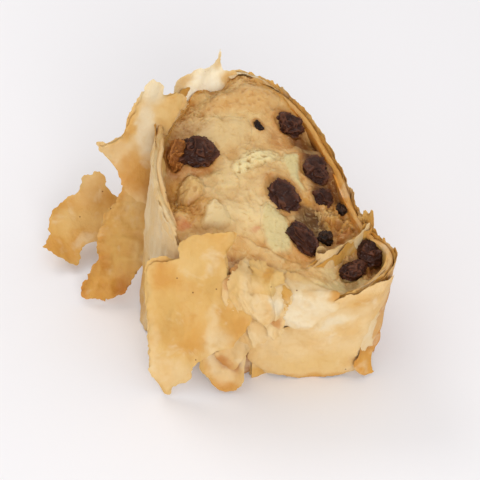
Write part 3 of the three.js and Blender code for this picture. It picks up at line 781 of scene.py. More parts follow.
# Soft areas of the filling's colour: x, y, radius x, radius y, turn, tone, strength.
FILLING_AREAS = [
    (-8, 20, 15, 7, 20, "flesh", 0.5),
    (3, 27, 8, 3, -25, "orange", 0.7),
    (-8.6, 4, 13, 8, 10, "flesh", 0.9),
    (10.6, 4, 9, 4, -25, "toast", 0.55),
    (-25, 8, 5, 6, 0, "pale", 0.7),
    (-20, 14, 6, 4, 40, "straw", 0.6),
    (-27, -0.7, 3, 2.5, 0, "brown", 1),
    (-26, -9, 4.5, 7, 0, "umber", 0.9),
    (-5, -18, 11, 8, 0, "flesh", 0.9),
    (1, -24, 5, 9, 5, "light_flesh", 0.8),
    (-20, -30, 5, 6, -20, "orange", 1.2),
    (-25.6, -24, 3.5, 8, 0, "orange", 1.2),
    (-19, -14, 6, 2, 10, "toast", 1),
    (-16.8, -19, 3, 3, 0, "pale", 0.6),
    (-3, -30, 6, 6, 0, "light_flesh", 0.8),
    (3, -5, 8, 4, 0, "lemon", 0.6),
    (17, -19.5, 3.5, 2, 0, "orange", 1),
    (20, -26, 5, 6, 0, "olive", 1.3),
    (28.5, -23, 6, 6, 0, "orange", 1.2),
    (30, -22, 2.4, 2.4, 0, "dark", 1.1),
    (26.5, -21, 1.6, 1.6, 0, "dark", 1.1),
    (28, -26, 1.4, 1.4, 0, "umber", 1.1),
    (-22, 18, 6, 9, -35, "straw", 0.9),
    (-9, 27, 9, 4, 10, "flesh", 0.9),
    # Dark areas along the inside of the right wall: partly juice, partly painted shade.
    (15.5, 7, 3, 5, 28, "umber", 1.0),
    (19.5, 1, 3, 4.5, 25, "dark", 0.9),
    (23, -10, 4, 5, 20, "umber", 1.0),
    (29, -13, 2.6, 6, 20, "brown", 1.0),
    (1, -27, 8, 9, 0, "light_flesh", 0.9),
    (8, -43, 14, 4, 0, "tan", 0.7),
    (-2, -43, 6, 4, 0, "tan", 0.8),
    (-5.3, -49.7, 3.5, 3.5, 0, "brown", 1.2),
    (1.8, -34.5, 2, 1.2, 0, "rose", 0.9),
    (-21, -36.7, 2, 2.5, 0, "rose", 0.8),
    (23, -48, 7, 3, 10, "tan", 0.8),
    (28, -47, 8, 5, 20, "lemon", 1.4),
    (35, -41, 4, 4, 0, "brown", 0.8),
    (39, -37, 4, 5, 0, "umber", 0.8),
]

# Where the filling is crumbly: x, y, radius, strength.
CRUMBLY = [
    (-23, -27, 8, 0.8),
    (28, -24, 8.5, 1),
    (1, -6, 7, 0.3),
    (-23, 12, 9, 0.55),
    (34, -42, 7, 0.8),
    (-2, 30, 7, 0.5),
    (-14, 26, 8, 0.4),
]


def raisin_reach(x, y):
    """How near a point of the cut face is to a raisin: 1 at its edge, less inside."""
    nearest = np.full(np.shape(x), 9.0)
    for (cx, cy, _), (sx, sy, _), turn, _ in RAISINS:
        dx, dy = turned(x - cx, y - cy, turn)
        nearest = np.minimum(nearest, np.hypot(dx / (sx / 2), dy / (sy / 2)))
    return nearest


def cut_relief(x, y):
    """The slow relief of the whole cut face, which apple pieces and filling share."""
    return 0.5 * fractal(x / 7, y / 7, 0, 2, 7)


def soft_lumps(x, y):
    """Pieces of cooked apple that run into each other: how high each is, and 1 where they meet."""
    bend = 1.7 * fractal(x / 4.5, y / 4.5, 0, 2, 8)
    return chunks(x + bend, y - bend, 6.2, 17)


def filling_top(x, y):
    """The top of the apple mash. Gives its height, how hollow it is and where its crumbs are."""
    crumbly = np.zeros(x.shape)
    for cx, cy, radius, strength in CRUMBLY:
        away = ((x - cx) ** 2 + (y - cy) ** 2) / radius ** 2
        crumbly = np.maximum(crumbly, strength * np.exp(-away ** 1.5))
    wander = 0.7 * fractal(x / 1.4, y / 1.4, 0, 2, 6)
    small, small_gap = chunks(x + wander, y - wander, 1.9, 12)
    grain = fractal(x / 0.9, y / 0.9, 0, 3, 31)
    strands = ridges((x + 0.4 * y) / 3.2, (y - 0.3 * x) / 7.0, 1.2, 3, 21)
    pulp = fractal(x / 3.6, y / 3.0, 2.0, 3, 25)
    relief = cut_relief(x, y) + 0.45 * pulp + 0.1 * strands + 0.05 * grain
    relief = relief + crumbly * (1.3 * small - 0.8 * small_gap + 0.25 * grain)
    lumps, joints = soft_lumps(x, y)
    relief = relief + 0.3 * lumps - 0.12 * joints
    edge = raisin_reach(x, y)
    relief = relief + 0.7 * np.exp(-((edge - 1.12) / 0.14) ** 2)
    # How hollow each point is, which the material paints darker: painted shade, and juice round the raisins.
    hollow = 0.12 - 0.3 * pulp + crumbly * (0.8 * small_gap + 0.8 * np.clip(0.3 - small, 0, 1))
    hollow = hollow + 0.2 * joints + 0.8 * np.exp(-((edge - 1.0) / 0.3) ** 2)
    crumbs = crumbly * smooth_step(small, 0.0, 0.4) * (1 - small_gap)
    return mound_height(x, y) + relief, np.clip(hollow, 0, 1), crumbs


# How far the filling stays inside the wall's outer face, by the way round.
FILLING_INSET = [(0, 1.6), (30, 1.6), (40, 2.2), (130, 2.2), (150, 1.6), (255, 1.2)]


def inner_outline(spacing):
    """The outline that the filling has inside the wall."""
    ways = np.arange(0, wall.length, spacing)
    return wall.point(ways, wall.rim_height(ways), -profile(FILLING_INSET, ways))[:, :2]


def side_of(curve):
    """Which way is right at each point of a curve, seen from above."""
    along = np.gradient(curve[:, :2], axis=0)
    side = np.column_stack([along[:, 1], -along[:, 0]])
    return side / np.linalg.norm(side, axis=1)[:, None]


def split_by_lap():
    """The inner outline cut in two by the lap: the main room and the pocket at the corner."""
    steps = 80
    curve = open_curve(LAP, steps)
    side = side_of(curve)
    ring = inner_outline(0.7)
    gap = 0.35 + 0.5 * smooth_step(np.linspace(1, 0, steps), 0.45, 0.7)
    rooms = []
    for sign in (1, -1):
        line = curve[:, :2] + sign * side * gap[:, None]
        line = line[inside(line, ring)][::sign]
        start, end = (np.argmin(np.linalg.norm(ring - point, axis=1)) for point in line[[0, -1]])
        way = np.arange(end, start + (len(ring) if start < end else 0)) % len(ring)
        rooms.append(np.concatenate([line, ring[way]]))
    return sorted(rooms, key=lambda room: -abs(np.cross(room, np.roll(room, -1, 0)).sum()))


def lean_to_foot(x, y):
    """How far the wall next to a point leans between its rim and its foot."""
    reach = 12
    shift = (wall.foot - wall.rim)[::4, :2]
    rim = wall.rim[::4, :2]
    squared = (x[:, None] - rim[:, 0]) ** 2 + (y[:, None] - rim[:, 1]) ** 2
    nearest = squared.argmin(1)
    strength = np.exp(-np.sqrt(squared.min(1)) / reach)
    return shift[nearest] * strength[:, None]


def filling_tones(x, y):
    """The mash's own colours, which also show at the edge of each piece of apple."""
    return tint(x, y, "mash", FILLING_AREAS, 61)


def rim_glow_juice_and_shade(colours, flat):
    """Paints a glow of the rim on the filling next to the pastry; at the right the edge is dark instead,
    partly juice and partly painted shade.
    """
    distance = edge_distance(flat, inner_outline(1.5))
    x, y = flat.T
    blotches = 0.8 + 0.5 * fractal(x / 3, y / 3, 4.0, 2, 64)
    # Where, at the right, the painted glow gives way to dark juice and painted shade.
    glow_juice_and_shade = smooth_step(x, 9, 15) * smooth_step(y, -19, -12) * smooth_step(-y, -15, -8)
    reach = 2.6 + 2.4 * glow_juice_and_shade
    share = np.exp(-(distance / reach) ** 1.5) * smooth_step(y, -46, -36) * blotches
    edge = blend(flat_tone("orange"), flat_tone("umber"), glow_juice_and_shade[:, None])
    return blend(colours, edge, np.clip(share, 0, 1)[:, None])


def filling_piece(name, outline, replaced):
    """The apple mash of one room, sunk where a piece of apple lies in it."""
    flat, faces = triangulate(densify(turned_left(outline), 0.45), 0.42, 3)
    x, y = flat.T
    height, hollow, crumbs = filling_top(x, y)
    for apple in APPLES:
        height = height - (APPLE_SINK - min(0, apple["rise"] + apple["dome"])) * apple_cover(flat, apple)
    level, gap = chunks(x + 50, y, 5.2, 13)
    under = np.column_stack([flat + lean_to_foot(x, y), np.clip(0.25 - 0.3 * level + 0.5 * gap, 0.0, 1.2)])
    points = np.concatenate([np.column_stack([x, y, height]), under])
    piece = add_mesh(name, points, closed_slab(faces, len(x)), FILLING)
    pale = 0.4 * smooth_step(soft_lumps(x, y)[0], 0.1, 0.6)
    colours = blend(filling_tones(x, y), flat_tone("light_flesh"), pale[:, None])
    colours = rim_glow_juice_and_shade(blend(colours, flat_tone("gold"), 0.45 * crumbs[:, None]), flat)
    set_tone(piece, np.concatenate([colours, tint(x, y, "tan", [], 62)]))
    set_values(piece, "hollow", np.concatenate([hollow, 0.5 * gap + 0.1]))
    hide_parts(replaced)


APPLE_SINK = 1.2  # how far the mash goes down under a piece of apple


def apple_outline(apple):
    return round_corners(turned_left(np.array(apple["outline"])), 2)


def apple_cover(flat, apple):
    """1 well inside an apple piece's outline, 0 outside."""
    outline = apple_outline(apple)
    within = inside(flat, outline)
    cover = np.zeros(len(flat))
    cover[within] = smooth_step(edge_distance(flat[within], outline), 0.8, 2.2)
    return cover


def apple_piece(index, apple):
    """A piece of apple whose top is cut flush with the filling, and whose underside is round."""
    seed = 100 + index * 7
    step = 0.4
    edge = densify(apple_outline(apple), step)
    uneven = 0.35 * fractal(edge[:, 0] / 1.5, edge[:, 1] / 1.5, 0, 2, seed)
    edge = edge + normals_of(edge) * uneven[:, None]
    flat, faces = triangulate(edge, step, seed)
    distance = edge_distance(flat, edge)
    x, y = flat.T
    middle = distance / distance.max()
    lumps = fractal(x / 2.4, y / 2.0, index, 4, seed)
    pits = smooth_step(noise(x / 1.4, y / 1.2, index, seed + 3), 0.35, 0.75)
    streaks = ridges(x / 2.2, y / 5.5, index, 2, seed + 1)
    rough = apple["rough"]
    relief = cut_relief(x, y) + 0.15 * streaks + rough * (0.7 * lumps - 1.4 * pits)
    around_height, around_hollow, _ = filling_top(x, y)
    share = smooth_step(distance, 0.2, apple.get("soft", 1.6))
    crown = apple["rise"] + apple["dome"] * np.sin(middle * math.pi / 2)
    top = blend(around_height + 0.05, mound_height(x, y) + relief + crown, share)
    under = top - 0.5 - apple["depth"] * np.sqrt(np.clip(1 - (1 - middle) ** 2, 0, 1))
    points = np.concatenate([np.column_stack([x, y, top]), np.column_stack([x, y, under])])
    piece = add_mesh(f"apple_piece_{index + 1}", points, closed_slab(faces, len(x)), APPLE)
    part = smooth_step(distance, 0.2, apple.get("soft", 1.3))[:, None]
    own = tint(x, y, apple["tone"], [], seed)
    set_tone(piece, np.tile(blend(filling_tones(x, y), own, part), (2, 1)))
    # Painted shade in the pits of the apple piece.
    hollow = np.clip(0.08 + rough * (1.2 * pits - 0.3 * lumps), 0, 1)
    set_values(piece, "hollow", np.tile(blend(around_hollow, hollow, share), 2))
    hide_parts(f"apple_{index + 1}")


def icosphere(subdivisions):
    """Points and triangles of a ball of radius 1."""
    mesh = bpy.data.meshes.new("ball")
    ball = bmesh.new()
    bmesh.ops.create_icosphere(ball, subdivisions=subdivisions, radius=1.0)
    ball.to_mesh(mesh)
    ball.free()
    points = np.array([v.co[:] for v in mesh.vertices])
    faces = [tuple(p.vertices) for p in mesh.polygons]
    bpy.data.meshes.remove(mesh)
    return points, faces


def on_face(points, at, turn):
    """Turns a lump about its height, tips it with the cut face and moves it there."""
    x, y, rise = at
    spin = Matrix.Rotation(math.radians(turn), 3, "Z")
    tip = Matrix.Rotation(-math.atan(FACE_RIGHT), 3, "Y") @ Matrix.Rotation(math.atan(FACE_BACK), 3, "X")
    return points @ np.array(tip @ spin).T + np.array([x, y, face_height(x, y) + rise])


def raisin_piece(index, at, size, turn, kind):
    """A raisin: a ball with dents and three sizes of wrinkle, stretched to the raisin's own size."""
    ball, faces = icosphere(6)
    x, y, z = ball.T
    seed = 300 + index * 11
    wx, wy = (0.35 * fractal(2 * x, 2 * y, 2 * z + k, 2, seed + k) for k in (7, 8))
    dents = fractal(1.3 * x + 5 * index, 1.3 * y, 1.3 * z, 2, seed)
    folds = 1 - np.abs(noise(1.9 * (x + wx) + index, 1.2 * (y + wy), 2.1 * z, seed + 1))
    creases = 1 - np.abs(noise(4.2 * (x + wx), 2.4 * (y + wy) + index, 4.4 * z, seed + 2))
    fine = 1 - np.abs(noise(9 * (x + wx), 5 * (y + wy), 9 * z + index, seed + 4))
    crest = 0.6 * folds ** 5 + 0.3 * creases ** 4 + 0.1 * fine ** 3
    square = np.sign(ball) * np.abs(ball) ** 0.95
    square[:, 0] *= 1 + (0.25 if index % 2 else -0.25) * y
    uneven = 0.3 if kind == "black" else 0.15
    points = square * (np.array(size) / 2) * (0.86 + uneven * dents + 0.36 * crest)[:, None]
    piece = add_mesh(f"raisin_piece_{index + 1}", on_face(points, at, turn), faces, RAISIN[kind])
    # How near each point is to a crest, where the material paints a sheen.
    set_values(piece, "crest_sheen", smooth_step(crest, 0.22, 0.7))
    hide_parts(f"raisin_{index + 1}")


def make_filling():
    main, pocket = split_by_lap()
    filling_piece("apple_filling", main, "filling")
    filling_piece("pocket_filling", pocket, "filling_turn")
    for index, apple in enumerate(APPLES):
        apple_piece(index, apple)
    for index, raisin in enumerate(RAISINS):
        raisin_piece(index, *raisin)


make_filling()


# ---------------------------------------------------------------- pastry wall

def wall_relief(a, z):
    """Slow folds of the whole wall, the same for all the sheets on it."""
    turn = a / wall.length * 2 * math.pi
    folds = 0.5 * np.sin(5 * turn + z / 16) + 0.3 * np.sin(13 * turn - z / 12 + 1)
    return (folds + 0.35 * fractal(a / 9, z / 11, 2, 3, 71)) * 0.8


# Soft areas by way and height: the baked rim at the right, and a painted glow on the wall's inside there,
# with the way and the reach of the stretch where that inside is darker further down, partly juice and partly
# painted shade.
RIM_AREAS = [(95, 52, 42, 14, 0, "orange", 0.85)]
INNER_AREAS = [(105, 54, 34, 14, 0, "glow_juice_and_shade", 1.0)]
JUICE_SHADE_MIDDLE, JUICE_SHADE_REACH = 112, 20

# How far the soft middle of the wall stays below the rim, by the way round.
CORE_DROP = [(0, 6), (30, 6), (42, 2), (60, 0.9), (132, 0.9), (150, 1.5), (160, 5), (198, 5), (206, 1.5),
             (240, 1.5), (250, 6)]


def inner_tones(ways, z):
    """The inside of the wall: golden below the rim with a painted glow at the right, and darker further down
    there, partly juice and partly painted shade.
    """
    colours = tint(ways, z, "gold", INNER_AREAS, 84)
    depth = wall.rim_height(ways) - z
    # Darker further down at the right: partly juice, partly painted shade.
    juice_shade = smooth_step(depth, 1.6, 3.2) * np.exp(-((ways - JUICE_SHADE_MIDDLE) / JUICE_SHADE_REACH) ** 4)
    return blend(colours, flat_tone("umber"), juice_shade[:, None])


def wall_core():
    """The soft middle of the wall, which the sheets cover."""
    ways = np.arange(0, wall.length, 0.7)
    top = wall.rim_height(ways) - profile(CORE_DROP, ways)
    rows, below_skin = 12, 0.8
    heights = [top * k / rows for k in range(rows + 1)]
    outer = [wall.point(ways, z, -below_skin + wall_relief(ways, z)) for z in heights]
    ragged = 0.55 * fractal(ways / 1.9, 3.3, 0, 3, 81)
    for inset, rise in [(0.4, 0.35), (0.8, 0.5), (1.3, 0.35), (1.8, -0.3)]:
        shift = -below_skin - inset + wall_relief(ways, top)
        outer.append(wall.point(ways, top + rise + ragged * (1 - inset), shift))
    inner = [wall.point(ways, z, -WALL + 0.4) for z in reversed(heights)]
    tones = [tint(ways, loop[:, 2], "pale", RIM_AREAS, 83) for loop in outer]
    tones += [inner_tones(ways, loop[:, 2]) for loop in inner]
    piece = band_mesh("wall_core", outer + inner, tones)
    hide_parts("pastry")


# Sheets of the rim, from the outside in: offset, tone, torn depth, height above the rim by the way round.
RIM_SHEETS = [
    (-0.5, "straw", 1.6, [(0, -6), (26, -5), (34, -0.8), (60, 0.2), (92, 0.2), (125, 0.4), (152, 0.2),
                         (160, -6), (250, -6)]),
    (-1.2, "gold", 1.0, [(0, -8), (28, -6), (40, 0.2), (56, -0.4), (64, -6), (130, -6), (140, -1),
                         (152, -1.5), (160, -7), (250, -9)]),
    (-1.9, "white", 1.0, [(0, -9), (34, -6), (42, -0.8), (52, -0.6), (60, -6), (256, -10)]),
]
RIM_SHEET_DROP = 12  # how far down each goes


def rim_sheet(index, offset, tone, depth, stations):
    """One sheet of the wall's rim, all the way round, with its own torn top edge."""
    seed = 500 + 13 * index
    ways = np.arange(0, wall.length, 0.55)
    waves = 0.6 * fractal(ways / 4.5, seed * 1.3, 0, 2, seed) + 0.5 * noise(ways, seed, 0, seed + 3)
    notches = smooth_step(noise(ways / 2.6, seed * 0.7, 0, seed + 6), 0.35, 0.8)
    top = wall.rim_height(ways) + profile(stations, ways) + depth * (waves - 1.1 * notches)
    bottom = top - RIM_SHEET_DROP
    loops, tones, edges = [], [], []
    for side, part in both_sides(9):
        z = bottom + (top - bottom) * part
        lean = 0.35 * noise(ways / 5, part * 2, seed, seed + 8) * part ** 2
        ripple = 0.18 * fractal(ways / 2.2, z / 3, seed, 2, seed + 9)
        half = SHEET / 2 * (1 - 0.6 * part ** 6)
        shift = offset + wall_relief(ways, z) + lean + ripple + side * half
        loops.append(wall.point(ways, z, shift))
        tones.append(tint(ways, z, tone, RIM_AREAS, seed))
        edges.append(np.full(len(ways), part ** 8))
    band_mesh(f"rim_sheet_{index + 1}", loops, tones, np.concatenate(edges))


def skin_relief(lift, seed, pleats=0.0, blisters=0.3):
    """The relief of a sheet that lies on the wall, `lift` mm out from it."""
    def relief(a, z):
        bubbles = blisters * fractal(a / 5.0, z / 5.5, seed, 3, seed)
        creases = 0.1 * ridges(a / 3.0, z / 4.6, seed, 2, seed + 4)
        folds = pleats * fractal(a / 3.2, z / 22, seed, 2, seed + 6)
        return lift + wall_relief(a, z) + bubbles + creases + folds
    return relief


# How far the sheets of the wall stay below its rim where the front flap leans on it, by the way round.
FLAP_ROOM = [(0, 5), (6, 5), (11, 0), (243, 0), (252, 5)]

# Sheets that cover the wall: from, to, height above the rim, lift, pleats, tone, soft areas.
SKINS = {
    # The brown area is painted shade in the gap between the low flap and the front sheet.
    "front_dough": (-16, 52, -1.2, -0.1, 0.0, "cream", [(9, 5, 5, 7, 0, "brown", 1.2)]),
    "right_skin": (50, 92, 0.2, 0.0, 0.3, "toast", [
        (54, 20, 4, 14, 0, "tan", 0.6), (72, 47, 26, 8, 0, "gold", 1.2)]),
    "right_back_skin": (84, 132, 0.4, -0.1, 0.3, "crust", [
        (110, 20, 9, 8, 0, "gold", 0.7), (108, 54, 30, 9, 0, "straw", 1.2)]),
    "back_skin": (122, 176, 0.3, 0.1, 0.3, "crust", [
        (150, 34, 12, 9, 0, "gold", 0.7), (150, 62, 28, 7, 0, "cream", 1.2)]),
    "left_back_skin": (168, 214, 0.3, 0.0, 0.5, "gold", [(190, 40, 14, 10, 0, "pale", 0.8)]),
    "left_skin": (206, 256, 0.5, 0.2, 0.6, "pale", [
        (228, 44, 18, 18, 0, "cream", 0.9), (222, 12, 8, 10, 0, "gold", 0.8)]),
}

# Torn strips folded over the rim at the left and the back: tone, soft areas, outline by way and inwards.
LIPS = {
    "left_lip": ("pale", [(230, 4, 9, 1.5, 0, "gold", 0.7), (212, 4, 8, 1.5, 0, "gold", 0.7)], [
        (199, -5), (245, -5), (246, 0), (243, 2.8), (239, 2), (234, 4.2), (229, 3.4), (224, 5.2), (219, 4.2),
        (214, 4.8), (208, 2.6), (203, 3), (198, 1)]),
    "back_lip": ("cream", [(152, 2, 9, 3, 0, "white", 0.9), (143, 3, 5, 2, 0, "orange", 0.6)], [
        (138, -2), (170, -2), (171, 2), (167, 3), (162, 2), (157, 3.4), (151, 2.4), (146, 3.4), (141, 2),
        (137, 1)]),
}

# The thin sheet on the front under the flap, by way and height, and the dough folded over the rim above
# it, by way and inwards.
FRONT_SHEET = [
    (8.5, 11), (10.5, 6.5), (15, 2.5), (20.5, 0.8), (26, 0.3), (32, 0.3), (38, 0.4), (42, 1.5), (44.5, 4.5),
    (45, 11), (46, 17), (47.5, 21), (48, 26), (51.5, 28.5), (53.5, 32), (54, 42), (50.5, 42.5), (46.5, 43.5),
    (43.5, 42), (41, 39.5), (39.5, 41), (35, 39), (33, 35), (28, 30.5), (22.5, 25), (18, 23.5), (14, 20.5),
    (11, 16),
]
FRONT_AREAS = [
    (30, 8, 14, 6, 0, "straw", 0.5),
    (34, 18, 8, 5, 20, "pale", 0.8),
    (45, 34, 6, 5, 20, "gold", 0.5),
    (22, 14, 8, 6, 0, "pale", 0.7),
    (40, 30, 10, 3, 25, "white", 0.5),
    (30, 0, 20, 2.2, 0, "orange", 0.6),
]
DOUGH_FOLD = [
    (14, -10), (17, -15), (23, -17), (30, -14), (35, -8), (38, -3), (37, 1), (33, 4), (29, 6), (24, 7.5),
    (18, 8), (14, 7), (11, 4), (10, 0), (11, -4),
]
DOUGH_AREAS = [
    (24, -8, 10, 7, 0, "white", 0.55),
    (12, 2, 4, 4, 0, "straw", 0.8),
    (22, 8, 14, 3.5, 0, "straw", 1),
    (36, 0, 3, 3, 0, "orange", 1.2),
]


def lip_relief(a, t):
    return 0.3 * fractal(a / 3, t / 3, 1.0, 3, 751)


def no_relief(a, t):
    return np.zeros(len(a))


def make_skins():
    """The sheets that cover the wall, from its foot up to its rim."""
    for k, (name, (start, end, high, lift, pleats, tone, areas)) in enumerate(SKINS.items()):
        seed = 600 + 7 * k
        ways = np.linspace(start, end, 12)
        line = [(a, wall.rim_height(a) + high - profile(FLAP_ROOM, a)) for a in ways[::-1]]
        outline = [(start, 0.3), (end, 0.3), *line]
        sheet(name, wall, outline, skin_relief(lift, seed, pleats), tone, areas=areas, step=0.85, tear=1.1,
              seed=seed)


def make_wall():
    wall_core()
    for index, row in enumerate(RIM_SHEETS):
        rim_sheet(index, *row)
    make_skins()
    sheet("front_sheet", wall, FRONT_SHEET, skin_relief(0.9, 701, blisters=0.35), "pale", areas=FRONT_AREAS,
          tear=0.6, seed=701, curl=0.1)
    sheet("dough_fold", FRONT_FOLD, DOUGH_FOLD, no_relief, "cream", areas=DOUGH_AREAS, crumple=0.9,
          crease=5.5, tear=0.8, seed=731, curl=0.1)
    for k, (name, (tone, areas, outline)) in enumerate(LIPS.items()):
        sheet(name, LIP_FOLD, outline, lip_relief, tone, areas=areas, step=0.5, tear=0.9, seed=741 + 9 * k,
              curl=0.4)


make_wall()


def ribbon(name, curve, low, offset, rise, tone, seed):
    """A thin upright sheet along a curve, from height `low` up to the curve, with a torn top."""
    side = side_of(curve)
    way = np.concatenate([[0], np.cumsum(np.linalg.norm(np.diff(curve[:, :2], axis=0), axis=1))])
    waves = 0.5 * fractal(way / 4, seed, 0, 3, seed)
    top = curve[:, 2] + rise + waves - 0.5 * noise(way / 1.3, seed, 0, seed + 5)
    loops, edges, tones = [], [], []
    for turn, step in both_sides(10):
        part = step ** 0.5
        z = low + (top - low) * part
        ripple = 0.4 * fractal(way / 5, z / 9, seed, 2, seed + 3)
        spread = 1 + 0.9 * np.sin(way / 3.4 + seed) * part ** 6
        shift = offset * spread + ripple + turn * SHEET / 2 * (1 - 0.6 * part ** 8)
        loops.append(np.column_stack([curve[:, :2] + side * shift[:, None], z]))
        edges.append(np.full(len(way), part ** 16))
        tones.append(tint(way, z, tone, [], seed))
    band_mesh(name, loops, tones, np.concatenate(edges), closed=False)


# The rolled end of a sheet beside the lap: x, y, top height.
LAP_ROLL = np.array([
    [29.6, -39.2, 46.3],
    [26.8, -42, 46.4],
    [23.6, -43.6, 46],
    [21.2, -42.8, 45.2],
    [21.4, -40.8, 45.2],
    [23.2, -40, 45.4],
    [24.4, -41, 45],
], dtype=float)


def make_lap():
    """The pastry's inner end: thin sheets between the filling and the pocket, and a rolled end."""
    curve = open_curve(LAP, 150)
    ribbon("lap_sheet_1", curve, low=0, offset=-0.7, rise=0, tone="gold", seed=801)
    ribbon("lap_sheet_2", curve, low=0, offset=0.7, rise=0.4, tone="gold", seed=812)
    ribbon("lap_sheet_3", curve[:90], low=20, offset=0, rise=0.8, tone="cream", seed=823)
    ribbon("lap_roll", open_curve(LAP_ROLL, 110), low=30, offset=0, rise=0, tone="cream", seed=834)


make_lap()


# ---------------------------------------------------------------- loose sheets

